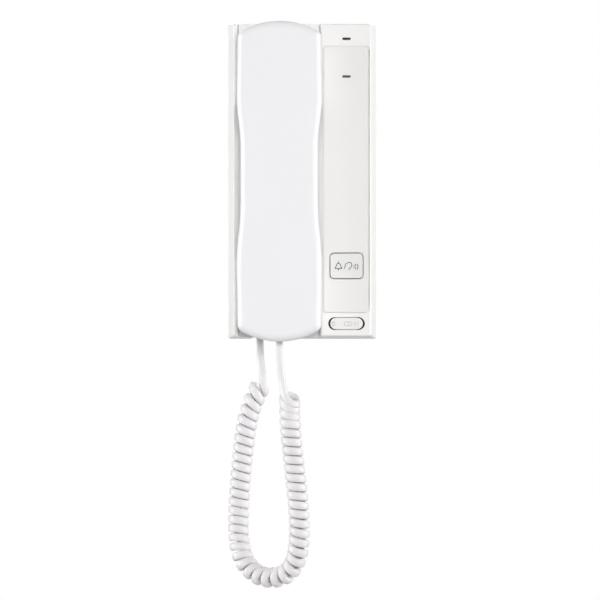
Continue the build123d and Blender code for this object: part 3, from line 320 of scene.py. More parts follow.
def grid_faces(rows, columns, around=True):
    """Quads between the points of a grid, row by row; around closes each row on itself."""
    span = columns if around else columns - 1
    row, column = np.meshgrid(np.arange(rows - 1), np.arange(span), indexing="ij")
    after = (column + 1) % columns
    quads = np.stack([
        row * columns + column, (row + 1) * columns + column,
        (row + 1) * columns + after, row * columns + after], axis=-1)
    return quads.reshape(-1, 4)


def unit(vectors):
    """Each vector over its own length."""
    return vectors / np.linalg.norm(vectors, axis=-1, keepdims=True)


def dot(a, b):
    """The product of each pair of vectors."""
    return np.sum(a * b, axis=-1, keepdims=True)


def lengths_along(points):
    """The distance travelled along a line at each of its points."""
    return np.r_[0, np.cumsum(np.linalg.norm(np.diff(points, axis=0), axis=1))]


def respaced(points, step):
    """The same line with its points about a step apart."""
    travelled = lengths_along(points)
    wanted = np.linspace(0, travelled[-1], max(int(travelled[-1] / step), 2) + 1)
    return np.column_stack([np.interp(wanted, travelled, points[:, k]) for k in range(3)])


def smoothstep(values):
    """Values from 0 to 1, eased at both ends: v ** 2 * (3 - 2 * v)."""
    return values ** 2 * (3 - 2 * values)


def spline_points(controls, step):
    """Points read from the NURBS spline whose control points are given."""
    curve = bpy.data.curves.new("route", "CURVE")
    curve.dimensions = "3D"
    curve.resolution_u = 48
    spline = curve.splines.new("NURBS")
    spline.points.add(len(controls) - 1)
    spline.points.foreach_set("co", np.c_[controls, np.ones(len(controls))].ravel())
    spline.order_u = 3
    spline.use_endpoint_u = True
    holder = bpy.data.objects.new("route", curve)
    mesh = bpy.data.meshes.new_from_object(holder)
    points = np.empty(len(mesh.vertices) * 3)
    mesh.vertices.foreach_get("co", points)
    bpy.data.objects.remove(holder)
    bpy.data.meshes.remove(mesh)
    bpy.data.curves.remove(curve)
    return respaced(points.reshape(-1, 3), step)


def carried_sides(tangents, first):
    """A side direction carried along a line without twisting about it."""
    sides = [unit(first - np.dot(first, tangents[0]) * tangents[0])]
    for tangent in tangents[1:]:
        last = sides[-1]
        sides.append(unit(last - np.dot(last, tangent) * tangent))
    return np.array(sides)


def line_tangents(points):
    """The direction of a line at each of its points."""
    return unit(np.gradient(points, lengths_along(points), axis=0))


def sheath(name, centres, thin_side, width, thickness, squareness, material, segments=20):
    """A closed tube whose section is a softened rectangle.

    The point at angle a of a ring is centre + thickness/2 * bend(cos a) * side
    + width/2 * bend(sin a) * (tangent x side), where bend(v) keeps the sign of v and
    raises its size to 2/squareness. A fan closes each end.
    """
    tangents = line_tangents(centres)
    side = unit(thin_side - dot(thin_side, tangents) * tangents)
    across = np.cross(tangents, side)
    angle = np.linspace(0, 2 * math.pi, segments, endpoint=False)
    thin, wide = np.cos(angle), np.sin(angle)
    thin = np.sign(thin) * np.abs(thin) ** (2 / squareness)
    wide = np.sign(wide) * np.abs(wide) ** (2 / squareness)
    rings = (
        centres[:, None]
        + (thickness[:, None] / 2 * thin)[..., None] * side[:, None]
        + (width[:, None] / 2 * wide)[..., None] * across[:, None])
    rows = len(centres)
    vertices = np.vstack([rings.reshape(-1, 3), centres[0], centres[-1]])
    # Rings turn from side to across, so their quads are turned round to face outwards
    quads = grid_faces(rows, segments)[:, ::-1]
    ring = np.arange(segments)
    after = (ring + 1) % segments
    start = np.column_stack([after, ring, np.full(segments, rows * segments)])
    last = (rows - 1) * segments
    end = np.column_stack([last + ring, last + after, np.full(segments, rows * segments + 1)])
    return new_piece(name, vertices, [*quads, *start, *end], material)


# Cord


def jack_mouth(node):
    """The middle of a jack's mouth, at the lower end of its box."""
    low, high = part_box(node)
    return np.array([(low.x + high.x) / 2, (low.y + high.y) / 2, low.z])


def coil_wire(settings, start, start_way, end, end_way):
    """The cord's middle line through the coil, its outward side, and how much the coil bends.

    The wire lies at line + radius * (cos(a) * side - sin(a) * (tangent x side)), a
    left-handed helix whose angle a grows evenly, more slowly round the bend and from
    rest at both ends. A turn leans along the line by radius * (lean . outward side).
    """
    radius = settings.coil_radius
    out_start = unit(BASE_SIDE - np.dot(BASE_SIDE, start_way) * start_way)
    out_end = unit(HANDSET_SIDE - np.dot(HANDSET_SIDE, end_way) * end_way)
    middle = (jack_mouth("base_cord_jack") + jack_mouth("handset_cord_jack")) / 2
    controls = np.vstack([
        start - out_start * radius, middle + COIL_MIDDLE, end - out_end * radius])
    line = spline_points(controls, COIL_STEP)
    steps = lengths_along(line)
    tangents = line_tangents(line)
    side = carried_sides(tangents, out_start)
    across = np.cross(tangents, side)
    part_turn = -math.atan2(np.dot(out_end, across[-1]), np.dot(out_end, side[-1]))
    bend = np.linalg.norm(np.gradient(tangents, steps, axis=0), axis=1)
    window = np.ones(BEND_POINTS) / BEND_POINTS
    smooth = np.convolve(np.pad(bend, BEND_POINTS // 2, mode="edge"), window, mode="valid")
    bend = smooth / smooth.max()
    ease = np.clip(np.minimum(steps, steps[-1] - steps) / settings.ease, 0, 1)
    rate = smoothstep(ease) * (1 - settings.bend_opening * bend)
    rate *= 1 - settings.end_opening * np.exp(-steps / settings.end_reach)
    angle = np.r_[0, np.cumsum((rate[:-1] + rate[1:]) / 2 * np.diff(steps))]
    angle *= (settings.whole_turns * 2 * math.pi + part_turn) / angle[-1]
    outward_side = np.cos(angle)[:, None] * side - np.sin(angle)[:, None] * across
    share = steps / steps[-1]
    lean = np.column_stack([
        np.interp(share, LEAN[:, 0], LEAN[:, 1]), np.interp(share, LEAN[:, 0], LEAN[:, 2]),
        np.zeros(len(share))])
    wire = line + radius * (outward_side + dot(lean, outward_side) * tangents)
    return wire, outward_side, bend


def make_cord(settings, material):
    """The whole cord as one tube: straight from the base, coiled, straight to the handset."""
    base_mouth = jack_mouth("base_cord_jack")
    handset_mouth = jack_mouth("handset_cord_jack")
    base_points, handset_points = base_mouth + BASE_RUN, handset_mouth + HANDSET_RUN
    base_way = unit(base_points[-1] - base_points[-2])
    handset_way = unit(handset_points[-1] - handset_points[-2])
    start = base_points[-1] + BASE_LEAD * base_way
    end = handset_points[-1] + HANDSET_LEAD * handset_way
    wire, sides, bend = coil_wire(settings, start, base_way, end, handset_way)
    base_line = spline_points(np.vstack([base_points, start]), RUN_STEP)[:-1]
    handset_line = spline_points(np.vstack([handset_points, end]), RUN_STEP)[-2::-1]
    centres = np.vstack([base_line, wire, handset_line])
    first, last = len(base_line), len(base_line) + len(wire) - 1
    tangents = line_tangents(centres)
    handset_sides = carried_sides(tangents[last:], sides[-1])[1:]
    # Over the first 1 / 1.8 of the handset's run the section turns to face the front
    turn = np.clip(np.linspace(0, 1.8, len(handset_sides)), 0, 1)[:, None]
    thin_side = np.vstack([
        carried_sides(tangents[first::-1], sides[0])[:0:-1], sides,
        (1 - turn) * handset_sides + turn * BASE_SIDE])
    travelled = lengths_along(centres)
    inside = np.minimum(travelled - travelled[first], travelled[last] - travelled)
    share = smoothstep(np.clip(inside / (3 * settings.ease), 0, 1))
    round_bend = np.zeros(len(centres))
    round_bend[first:last + 1] = bend
    coiled = settings.coiled_width + round_bend * (settings.bend_width - settings.coiled_width)
    width = settings.straight_width + share * (coiled - settings.straight_width)
    thickness = np.full(len(centres), settings.thickness)
    cord = sheath("curly_cord", centres, thin_side, width, thickness, settings.squareness, material)
    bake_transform(cord)
    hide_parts("cord_base_run", "cord_coil", "cord_handset_run")


# Shader helpers and groups

FINISH_OUTPUTS = (
    ("Colour", "NodeSocketColor"), ("Roughness", "NodeSocketFloat"), ("Height", "NodeSocketFloat"))


def shader_group(name, inputs, outputs):
    """An empty shader group with the named inputs (name, kind, default) and outputs."""
    group = bpy.data.node_groups.new(name, "ShaderNodeTree")
    for socket, kind, default in inputs:
        made = group.interface.new_socket(socket, in_out="INPUT", socket_type=kind)
        made.default_value = default
    for socket, kind in outputs:
        group.interface.new_socket(socket, in_out="OUTPUT", socket_type=kind)
    return group, group.nodes.new("NodeGroupInput"), group.nodes.new("NodeGroupOutput")


def math_node(tree, operation, *values):
    """A Math node whose inputs are sockets or numbers."""
    node = tree.nodes.new("ShaderNodeMath")
    node.operation = operation
    for socket, value in zip(node.inputs, values):
        if isinstance(value, (int, float)):
            socket.default_value = value
        else:
            tree.links.new(value, socket)
    return node.outputs[0]


def map_range(tree, value, *limits):
    """A Map Range node; the limits are From Min, From Max, To Min and To Max."""
    node = tree.nodes.new("ShaderNodeMapRange")
    tree.links.new(value, node.inputs["Value"])
    for socket, limit in zip(("From Min", "From Max", "To Min", "To Max"), limits):
        node.inputs[socket].default_value = limit
    return node


def noise_node(tree, vector, scale, detail=2.0, roughness=0.5):
    """A noise texture; scale is a number or a socket."""
    node = tree.nodes.new("ShaderNodeTexNoise")
    node.inputs["Detail"].default_value = detail
    node.inputs["Roughness"].default_value = roughness
    tree.links.new(vector, node.inputs["Vector"])
    if isinstance(scale, (int, float)):
        node.inputs["Scale"].default_value = scale
    else:
        tree.links.new(scale, node.inputs["Scale"])
    return node.outputs["Fac"]


def scaled_colour(tree, colour, gain):
    """A colour socket made brighter or darker by a factor's socket."""
    node = tree.nodes.new("ShaderNodeVectorMath")
    node.operation = "SCALE"
    tree.links.new(colour, node.inputs[0])
    tree.links.new(gain, node.inputs["Scale"])
    return node.outputs[0]


def swing(tree, value, middle, reach):
    """middle + reach * (value - 0.5); middle and reach are numbers or sockets."""
    centred = math_node(tree, "SUBTRACT", value, 0.5)
    return math_node(tree, "ADD", middle, math_node(tree, "MULTIPLY", centred, reach))


def finish_outputs(group, out, colour, roughness, height):
    """Links a finish group's three results to its outputs."""
    for socket, value in (("Colour", colour), ("Roughness", roughness), ("Height", height)):
        group.links.new(value, out.inputs[socket])


def moulded_grain_group():
    """Fine spark texture of a mould, with a soft flow variation."""
    group, given, out = shader_group(
        "Moulded Grain",
        [("Grain Size", "NodeSocketFloat", 0.00035),
         ("Colour", "NodeSocketColor", (0.8, 0.8, 0.8, 1)),
         ("Variation", "NodeSocketFloat", 0.03), ("Roughness", "NodeSocketFloat", 0.42)],
        FINISH_OUTPUTS)
    place = group.nodes.new("ShaderNodeTexCoord").outputs["Object"]
    scale = math_node(group, "DIVIDE", 1.0, given.outputs["Grain Size"])
    fine = noise_node(group, place, scale, 3.0, 0.6)
    broad = noise_node(group, place, 22.0, 3.0)
    gain = swing(group, broad, 1.0, given.outputs["Variation"])
    colour = scaled_colour(group, given.outputs["Colour"], gain)
    finish_outputs(group, out, colour, swing(group, fine, given.outputs["Roughness"], 0.12), fine)


def rolled_metal_group():
    """Fine parallel scratches along X, with a few cloudy marks."""
    group, given, out = shader_group(
        "Rolled Metal",
        [("Colour", "NodeSocketColor", (0.6, 0.6, 0.6, 1)), ("Roughness", "NodeSocketFloat", 0.35)],
        FINISH_OUTPUTS)
    place = group.nodes.new("ShaderNodeTexCoord").outputs["Object"]
    stretch = group.nodes.new("ShaderNodeMapping")
    stretch.inputs["Scale"].default_value = (60.0, 900.0, 900.0)
    group.links.new(place, stretch.inputs["Vector"])
    lines = noise_node(group, stretch.outputs[0], 2.0, 4.0, 0.6)
    cloud = noise_node(group, place, 90.0, 2.0)
    colour = scaled_colour(group, given.outputs["Colour"], swing(group, lines, 1.0, 0.16))
    finish_outputs(group, out, colour, swing(group, cloud, given.outputs["Roughness"], 0.2), lines)


def new_material(name):
    """A material with its Principled shader and node tree."""
    material = bpy.data.materials.new(name)
    material.use_nodes = True
    tree = material.node_tree
    return material, tree, tree.nodes["Principled BSDF"]


def bump(tree, shader, height, distance):
    """Feeds a height to the shader's normal."""
    node = tree.nodes.new("ShaderNodeBump")
    node.inputs["Distance"].default_value = distance
    node.inputs["Strength"].default_value = 1.0
    tree.links.new(height, node.inputs["Height"])
    tree.links.new(node.outputs["Normal"], shader.inputs["Normal"])


def finished_material(name, group, colour, depth, **values):
    """A material dressed by a finish group; depth is the height of its fine texture."""
    material, tree, shader = new_material(name)
    look = tree.nodes.new("ShaderNodeGroup")
    look.node_tree = bpy.data.node_groups[group]
    look.inputs["Colour"].default_value = (*colour, 1.0)
    for socket, value in values.items():
        look.inputs[socket.replace("_", " ")].default_value = value
    tree.links.new(look.outputs["Colour"], shader.inputs["Base Color"])
    tree.links.new(look.outputs["Roughness"], shader.inputs["Roughness"])
    bump(tree, shader, look.outputs["Height"], depth)
    return material, shader


def moulded_plastic(name, colour, grain=0.00035, roughness=0.42, depth=0.000012, variation=0.03):
    """Moulded plastic with the mould's grain."""
    material, shader = finished_material(
        name, "Moulded Grain", colour, depth, Grain_Size=grain, Roughness=roughness,
        Variation=variation)
    shader.inputs["IOR"].default_value = 1.5
    return material


def side_shaded_plastic(name, colour, grain, roughness, sides):
    """Moulded plastic with painted shade on its sides, so the seams round it read dark;
    sides is how bright its sides are beside the face.

    The colour darkens where the surface turns from -Y to its sides.
    """
    material = moulded_plastic(name, colour, grain, roughness)
    tree = material.node_tree
    shader = tree.nodes["Principled BSDF"]
    parts = tree.nodes.new("ShaderNodeSeparateXYZ")
    tree.links.new(tree.nodes.new("ShaderNodeTexCoord").outputs["Normal"], parts.inputs[0])
    # Painted shade: faces that turn away from -Y get a darker colour, standing in for the shade in
    # the seams
    fade = map_range(tree, parts.outputs["Y"], -0.35, -0.75, sides, 1.0)
    plain = shader.inputs["Base Color"].links[0].from_socket
    side_shaded_colour = scaled_colour(tree, plain, fade.outputs["Result"])
    tree.links.new(side_shaded_colour, shader.inputs["Base Color"])
    return material


def rolled_metal(name, colour, roughness=0.35):
    """Sheet or turned metal with fine lines."""
    material, shader = finished_material(
        name, "Rolled Metal", colour, 0.000008, Roughness=roughness)
    shader.inputs["Metallic"].default_value = 1.0
    return material


def lens_plastic(name, colour):
    """Dark glossy lens with a faint cloud in it."""
    material = moulded_plastic(
        name, colour, grain=0.004, roughness=0.16, depth=0.000002, variation=0.3)
    shader = material.node_tree.nodes["Principled BSDF"]
    shader.inputs["Coat Weight"].default_value = 0.4
    shader.inputs["Coat Roughness"].default_value = 0.06
    return material


def cord_sheath(name, colour):
    """Satin sheath of the cord, with a slow change of shade along it."""
    return moulded_plastic(
        name, colour, grain=0.0009, roughness=0.36, depth=0.00002, variation=0.08)


def circuit_board(name, lacquer, track):
    """Glossy lacquer over thin copper tracks in right angles."""
    material, tree, shader = new_material(name)
    place = tree.nodes.new("ShaderNodeTexCoord").outputs["Object"]
    brick = tree.nodes.new("ShaderNodeTexBrick")
    turn = tree.nodes.new("ShaderNodeMapping")
    turn.inputs["Rotation"].default_value = (math.pi / 2, 0.0, 0.0)
    tree.links.new(place, turn.inputs["Vector"])
    tree.links.new(turn.outputs[0], brick.inputs["Vector"])
    brick.inputs["Scale"].default_value = 160.0
    brick.inputs["Mortar Size"].default_value = 0.04
    brick.inputs["Color1"].default_value = (*lacquer, 1)
    brick.inputs["Color2"].default_value = (*(1.2 * part for part in lacquer), 1)
    brick.inputs["Mortar"].default_value = (*track, 1)
    tree.links.new(brick.outputs["Color"], shader.inputs["Base Color"])
    shader.inputs["Roughness"].default_value = 0.28
    bump(tree, shader, brick.outputs["Fac"], 0.00003)
    return material


def clear_plastic(name):
    """Clear moulded plastic of the cord's plugs."""
    material, tree, shader = new_material(name)
    place = tree.nodes.new("ShaderNodeTexCoord").outputs["Object"]
    cloud = noise_node(tree, place, 600.0, 2.0)
    rough = math_node(tree, "ADD", 0.08, math_node(tree, "MULTIPLY", cloud, 0.08))
    tree.links.new(rough, shader.inputs["Roughness"])
    shader.inputs["Base Color"].default_value = (0.88, 0.90, 0.91, 1)
    shader.inputs["Transmission Weight"].default_value = 0.85
    shader.inputs["IOR"].default_value = 1.5
    return material


def floor_paint(name):
    """Matt white paint, pale to the eye, that keeps shadows and can't be seen from below."""
    material = moulded_plastic(name, (0.86, 0.86, 0.86), 0.002, 0.8, 0.00001, 0.01)
    tree = material.node_tree
    shader = tree.nodes["Principled BSDF"]
    rays = tree.nodes.new("ShaderNodeLightPath").outputs
    tree.links.new(math_node(tree, "MULTIPLY", rays["Is Camera Ray"], FLOOR_GLOW),
                   shader.inputs["Emission Strength"])
    shader.inputs["Emission Color"].default_value = (1.0, 1.0, 1.0, 1.0)
    clear = tree.nodes.new("ShaderNodeBsdfTransparent")
    mix = tree.nodes.new("ShaderNodeMixShader")
    tree.links.new(tree.nodes.new("ShaderNodeNewGeometry").outputs["Backfacing"], mix.inputs["Fac"])
    tree.links.new(shader.outputs[0], mix.inputs[1])
    tree.links.new(clear.outputs[0], mix.inputs[2])
    tree.links.new(mix.outputs[0], tree.nodes["Material Output"].inputs["Surface"])
    return material


def make_materials(finish, cord):
    """Every finish by its name."""
    moulded_grain_group()
    rolled_metal_group()
    grain = finish.grain * 0.8
    return {
        "housing": moulded_plastic("housing_plastic", finish.housing, finish.grain),
        "handset": moulded_plastic("handset_plastic", finish.handset, finish.grain * 1.2, 0.38),
        # The panel and the keys get painted shade on their sides, which darkens the seams round
        # them
        "panel": side_shaded_plastic("panel_plastic", finish.panel, grain, 0.46, finish.sides),
        "keycap": side_shaded_plastic("button_plastic", finish.button, grain, 0.40, finish.sides),
        "volume_cap": side_shaded_plastic(
            "volume_key_plastic", finish.key, grain, 0.40, finish.sides),
        "lens_black": lens_plastic("black_lens", (0.012, 0.012, 0.013)),
        "lens_grey": lens_plastic("grey_lens", (0.055, 0.055, 0.06)),
        "board": circuit_board("green_board", (0.012, 0.085, 0.035), (0.05, 0.19, 0.08)),
        # A black copy of the board, painted shade for the gap round the volume key
        "black_board": circuit_board("black_board", (0.010, 0.011, 0.010), (0.035, 0.037, 0.034)),
        "steel": rolled_metal("zinc_steel", (0.60, 0.60, 0.61)),
        "black_plastic": moulded_plastic(
            "black_moulding", (0.022, 0.022, 0.024), 0.0005, 0.5, 0.00002, 0.2),
        "led": moulded_plastic("lamp_resin", (0.72, 0.70, 0.56), 0.0006, 0.2),
        "lever": moulded_plastic("lever_plastic", (0.50, 0.50, 0.51), 0.0004, 0.4),
        "rubber": moulded_plastic("rubber", (0.035, 0.035, 0.036), 0.0007, 0.75, 0.00003, 0.25),
        "jack": moulded_plastic("jack_plastic", (0.62, 0.615, 0.60), 0.0004, 0.38),
        "capsule": rolled_metal("capsule_aluminium", (0.78, 0.78, 0.79), 0.3),
        "clear_plug": clear_plastic("clear_plug"),
        "cord": cord_sheath("cord_sheath", cord.colour),
        "floor": floor_paint("floor_paint"),
        "mark": moulded_plastic("printed_ink", finish.mark, 0.0002, 0.55, 0.000004, 0.15),
        "faint_mark": moulded_plastic(
            "pale_ink", (0.55, 0.545, 0.53), 0.0002, 0.5, 0.000004, 0.1),
        # Painted shade for the screws' cross recesses
        "recess": rolled_metal("shaded_steel", (0.10, 0.10, 0.105), 0.55),
        "gold": rolled_metal("gold_contact", (0.95, 0.70, 0.30), 0.22),
    }


# Printed marks


def arc(x, z, radius_x, radius_z, start, end, count=25):
    """Points of an oval arc round (x, z): x + radius_x * cos(a), z + radius_z * sin(a)."""
    angle = np.radians(np.linspace(start, end, count))
    return np.column_stack([x + radius_x * np.cos(angle), z + radius_z * np.sin(angle)])


def bell_lines(x):
    """A bell at x, in millimetres: dome, stem and rim.

    The dome's half width is 1.6 * (1 - (1 - t) ** 2.4) ** 0.5 + 0.76 * t ** 4, with t
    from 0 at its top to 1 at its rim.
    """
    t = np.linspace(0, 1, 25) ** 1.5
    half = 1.6 * np.sqrt(1 - (1 - t) ** 2.4) + 0.76 * t ** 4
    flank = np.column_stack([half, 1.75 - 3.45 * t])
    dome = np.vstack([flank[::-1] * (-1, 1), flank[1:]])
    stem = np.array([(0.0, 1.75), (0.0, 3.05)])
    rim = np.array([(-2.36, -1.7), (2.36, -1.7)])
    return [line + (x, 0.0) for line in (dome, stem, rim)]


def speech_lines():
    """A talking head from the side, small dashes and a sound wave, in millimetres."""
    head = arc(1.9, 0.9, 1.5, 1.45, 170, -25)
    nose = np.array([head[-1], (3.75, -0.35), (2.9, -0.60)])
    lips = np.array([(2.9, -0.60), (3.0, -1.05), (1.9, -1.15)])
    neck = np.array([(1.1, -2.15), (2.7, -2.05)])
    dashes = [np.array([(4.5, z), (4.7, z - 0.55)]) for z in (0.65, -1.05)]
    left = arc(7.5, -0.5, 1.9, 2.4, 132, 228)
    right = arc(5.6, -0.5, 1.9, 2.4, 48, -48)
    return [head, nose, lips, neck, *dashes, left, right]


def bar_faces(rows):
    """The faces of a closed bar with four corners in each row."""
    last = 4 * (rows - 1)
    ends = np.array([(0, 1, 2, 3), (last + 3, last + 2, last + 1, last)])
    return np.vstack([grid_faces(rows, 4), ends])


def flat_stroke(line, width, surface_y, ink, x, z):
    """A printed line: a thin band along a flat line, on a surface that faces -Y.

    Its edges are line +- width/2 * normal, its back lies on the surface and its front
    stands proud by the ink's thickness.
    """
    way = np.gradient(line, axis=0)
    way = way / np.maximum(np.linalg.norm(way, axis=1, keepdims=True), 1e-9)
    normal = np.column_stack([-way[:, 1], way[:, 0]]) * width / 2
    corners = np.stack([line + normal, line - normal, line - normal, line + normal], axis=1)
    depth = np.array([surface_y, surface_y, surface_y - ink, surface_y - ink])
    points = np.empty((len(line), 4, 3))
    points[..., 0] = corners[..., 0] + x
    points[..., 1] = depth
    points[..., 2] = corners[..., 1] + z
    return points.reshape(-1, 3), bar_faces(len(line))


def joined(parts):
    """Several vertex and face arrays as one."""
    vertices, faces, count = [], [], 0
    for points, quads in parts:
        vertices.append(points)
        faces += [quad + count for quad in quads]
        count += len(points)
    return np.vstack(vertices), faces


def outward(piece):
    """Turns all faces of a closed piece outwards."""
    work = bmesh.new()
    work.from_mesh(piece.data)
    bmesh.ops.recalc_face_normals(work, faces=work.faces)
    work.to_mesh(piece.data)
    work.free()
    return piece


def printed(name, strokes, node, material):
    """Strokes (line, width) printed on the front of a node, one mesh."""
    low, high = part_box(node)
    x, z = (low.x + high.x) / 2, (low.z + high.z) / 2
    ink = bpy.context.scene.intercom_marks.ink
    vertices, faces = joined([
        flat_stroke(line * MM, width, low.y, ink, x, z) for line, width in strokes])
    piece = outward(new_piece(name, vertices, faces, material, smooth=False))
    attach(piece, node)


def make_call_marks(settings, material):
    """The pictograms on the call button: a bell, a stroke and a talking head."""
    slash = np.array([(-0.45, 1.75), (-1.35, -1.75)])
    lines = [*bell_lines(-5.3), slash, *speech_lines()]
    strokes = [(line, settings.line) for line in lines]
    strokes.append((arc(-5.3, -2.5, 0.2, 0.2, 0, 360, 17), settings.clapper))
    printed("call_marks", strokes, "call_button", material)


def make_key_marks(settings, material):
    """The pale marks on the volume key: two dots, a loudspeaker's rings and rising bars."""
    lines = [arc(x, z, 0.35, 0.35, 0, 360, 13) for x in (-9.4, -8.1) for z in (0.75, -1.0)]
    lines += [arc(0.0, -0.1, 1.45, 1.45, 0, 360), arc(2.2, -0.1, 1.35, 1.35, -140, 140)]
    lines += [np.array([(x, -0.2 - reach), (x, -0.2 + reach)])
              for x, reach in ((4.9, 1.3), (6.0, 1.5), (7.5, 1.75))]
    strokes = [(line, settings.line * 0.9) for line in lines]
    printed("volume_marks", strokes, "volume_key", material)


# Fittings


def plus_outline(reach, width):
    """The corners of a cross in order: each arm runs reach from the middle."""
    half = width / 2
    arm = np.array([(half, half), (reach, half), (reach, -half)])
    turns = [np.array([(math.cos(a), -math.sin(a)), (math.sin(a), math.cos(a))])
             for a in np.radians((0, -90, -180, -270))]
    return np.vstack([arm @ turn.T for turn in turns])


def cross_block(outline, x, z, surface_y, height):
    """A cross of a given height on a surface that faces +Y."""
    count = len(outline)
    ring = np.column_stack([outline[:, 0] + x, np.full(count, surface_y), outline[:, 1] + z])
    vertices = np.vstack([ring, ring + (0.0, height, 0.0)])
    index = np.arange(count)
    after = (index + 1) % count
    walls = np.column_stack([index, after, after + count, index + count])
    return vertices, [index[::-1], index + count, *walls]


def make_recesses(settings, material):
    """A thin dark cross in each screw head that shows: painted shade where its cross recess would
    be.
    """
    outline = plus_outline(settings.recess_reach, settings.recess_width)
    for name, node, body, places in (
        ("case_screw_recesses", "case_screws", "base", CASE_SCREWS),
        ("handset_screw_recesses", "handset_screws", "handset", HANDSET_SCREWS),
    ):
        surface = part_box(node)[1].y
        vertices, faces = joined([
            cross_block(outline, x, z, surface - RECESS_DEPTH, 2 * RECESS_DEPTH)
            for x, z in places])
        piece = outward(new_piece(name, vertices, faces, material, smooth=False))
        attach(piece, body)


def strip(line, x, width, thickness):
    """A metal strip along a line in Y and Z, with its thickness along the line's normal."""
    way = unit(np.gradient(line, axis=0))
    normal = np.column_stack([-way[:, 1], way[:, 0]]) * thickness / 2
    points = np.empty((len(line), 4, 3))
    points[..., 0] = x + width / 2 * np.array([-1, 1, 1, -1])
    points[..., 1:] = np.stack([line - normal, line - normal, line + normal, line + normal], axis=1)
    return points.reshape(-1, 3), bar_faces(len(line))


def make_contacts(settings, material):
    """The gold contacts in the line socket: springs that rise from its floor.

    A contact stands rise * sin(pi * t ** 0.7) ** 2 over the floor, with t from 0 at its end
    near the socket's mouth to 1 at its inner end.
    """
    low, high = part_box("network_jack")
    t = np.linspace(0, 1, 17)
    floor = high.y - CONTACT_FLOOR
    line = np.column_stack([
        floor - CONTACT_RISE * np.sin(math.pi * t ** 0.7) ** 2,
        low.z + CONTACT_START + CONTACT_LENGTH * t])
    middle = (low.x + high.x) / 2
    places = middle + settings.contact_pitch * (
        np.arange(settings.contact_count) - (settings.contact_count - 1) / 2)
    vertices, faces = joined([
        strip(line, x, settings.contact_width, CONTACT_THICKNESS) for x in places])
    piece = outward(new_piece("line_contacts", vertices, faces, material))
    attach(piece, "base")


# Stage


def aim(thing, place, target):
    """Places a lamp or camera so that it looks at a point."""
    thing.location = place
    way = (target - thing.location).normalized()
    thing.rotation_euler = way.to_track_quat("-Z", "Y").to_euler()


def area_lamp(name, place, size, power, spread):
    """A soft rectangular lamp; spread is the angle of its grid in degrees."""
    lamp = bpy.data.lights.new(name, "AREA")
    lamp.shape = "RECTANGLE"
    lamp.size, lamp.size_y = size
    lamp.energy = power
    lamp.spread = math.radians(spread)
    holder = bpy.data.objects.new(name, lamp)
    bpy.context.scene.collection.objects.link(holder)
    aim(holder, place, LAMP_TARGET)
    return holder


def seen_white(tree, lit, white):
    """Mixes a shader for light with a white one for what is seen, mirrored or seen through."""
    rays = tree.nodes.new("ShaderNodeLightPath").outputs
    seen = math_node(tree, "MAXIMUM", rays["Is Camera Ray"],
                     math_node(tree, "MAXIMUM", rays["Is Glossy Ray"], rays["Is Transmission Ray"]))
    mix = tree.nodes.new("ShaderNodeMixShader")
    tree.links.new(seen, mix.inputs["Fac"])
    tree.links.new(lit, mix.inputs[1])
    tree.links.new(white, mix.inputs[2])
    return mix.outputs[0]


def make_world(above, below):
    """Light from all round, weaker from below, and white to the eye."""
    world = bpy.data.worlds.new("studio")
    bpy.context.scene.world = world
    world.use_nodes = True
    tree = world.node_tree
    lit = tree.nodes["Background"]
    lit.inputs["Color"].default_value = (1.0, 1.0, 1.0, 1.0)
    place = tree.nodes.new("ShaderNodeTexCoord").outputs["Generated"]
    parts = tree.nodes.new("ShaderNodeSeparateXYZ")
    tree.links.new(place, parts.inputs[0])
    fade = map_range(tree, parts.outputs["Z"], -0.4, 0.3, below, above)
    fade.interpolation_type = "SMOOTHSTEP"
    tree.links.new(fade.outputs["Result"], lit.inputs["Strength"])
    white = tree.nodes.new("ShaderNodeBackground")
    white.inputs["Color"].default_value = (1.0, 1.0, 1.0, 1.0)
    white.inputs["Strength"].default_value = 1.0
    tree.links.new(seen_white(tree, lit.outputs[0], white.outputs[0]),
                   tree.nodes["World Output"].inputs["Surface"])


def make_floor(height):
    """A pale floor below the hanging cord.

    It is a sheet that sags by sag * cos(x * pi / 2 / reach) * cos(y * pi / 2 / reach).
    """
    places = np.linspace(-FLOOR_REACH, FLOOR_REACH, FLOOR_POINTS)
    x, y = np.meshgrid(places, places)
    turn = math.pi / (2 * FLOOR_REACH)
    z = height - FLOOR_SAG * np.cos(x * turn) * np.cos(y * turn)
    vertices = np.column_stack([x.ravel(), y.ravel(), z.ravel()])
    faces = grid_faces(FLOOR_POINTS, FLOOR_POINTS, around=False)[:, ::-1]
    floor = new_piece("floor", vertices, faces, MATERIALS["floor"])


# Operators


class INTERCOM_OT_cord(bpy.types.Operator):
    """Make the curly cord from the base to the handset"""

    bl_idname = "intercom.cord"
    bl_label = "Curly Cord"

    def execute(self, context):
        make_cord(context.scene.intercom_cord, MATERIALS["cord"])
        return {"FINISHED"}


class INTERCOM_OT_finishes(bpy.types.Operator):
    """Give every CAD part its finish"""

    bl_idname = "intercom.finishes"
    bl_label = "Finishes"

    def execute(self, context):
        scene = context.scene
        MATERIALS.update(make_materials(scene.intercom_finish, scene.intercom_cord))
        for entry in frame["record"]["subparts"]:
            node = frame["nodes"][entry["node"]]
            node.data.materials.clear()
            finish = OWN_FINISH.get(entry["node"], entry["material_slot"])
            node.data.materials.append(MATERIALS[finish])
        return {"FINISHED"}


class INTERCOM_OT_marks(bpy.types.Operator):
    """Print the marks on the call button and the volume key"""

    bl_idname = "intercom.marks"
    bl_label = "Printed Marks"

    def execute(self, context):
        settings = context.scene.intercom_marks
        make_call_marks(settings, MATERIALS["mark"])
        make_key_marks(settings, MATERIALS["faint_mark"])
        return {"FINISHED"}


class INTERCOM_OT_fittings(bpy.types.Operator):
    """Make the screw recesses and the contacts of the line socket"""

    bl_idname = "intercom.fittings"
    bl_label = "Fittings"

    def execute(self, context):
        settings = context.scene.intercom_fittings
        make_recesses(settings, MATERIALS["recess"])
        make_contacts(settings, MATERIALS["gold"])
        return {"FINISHED"}


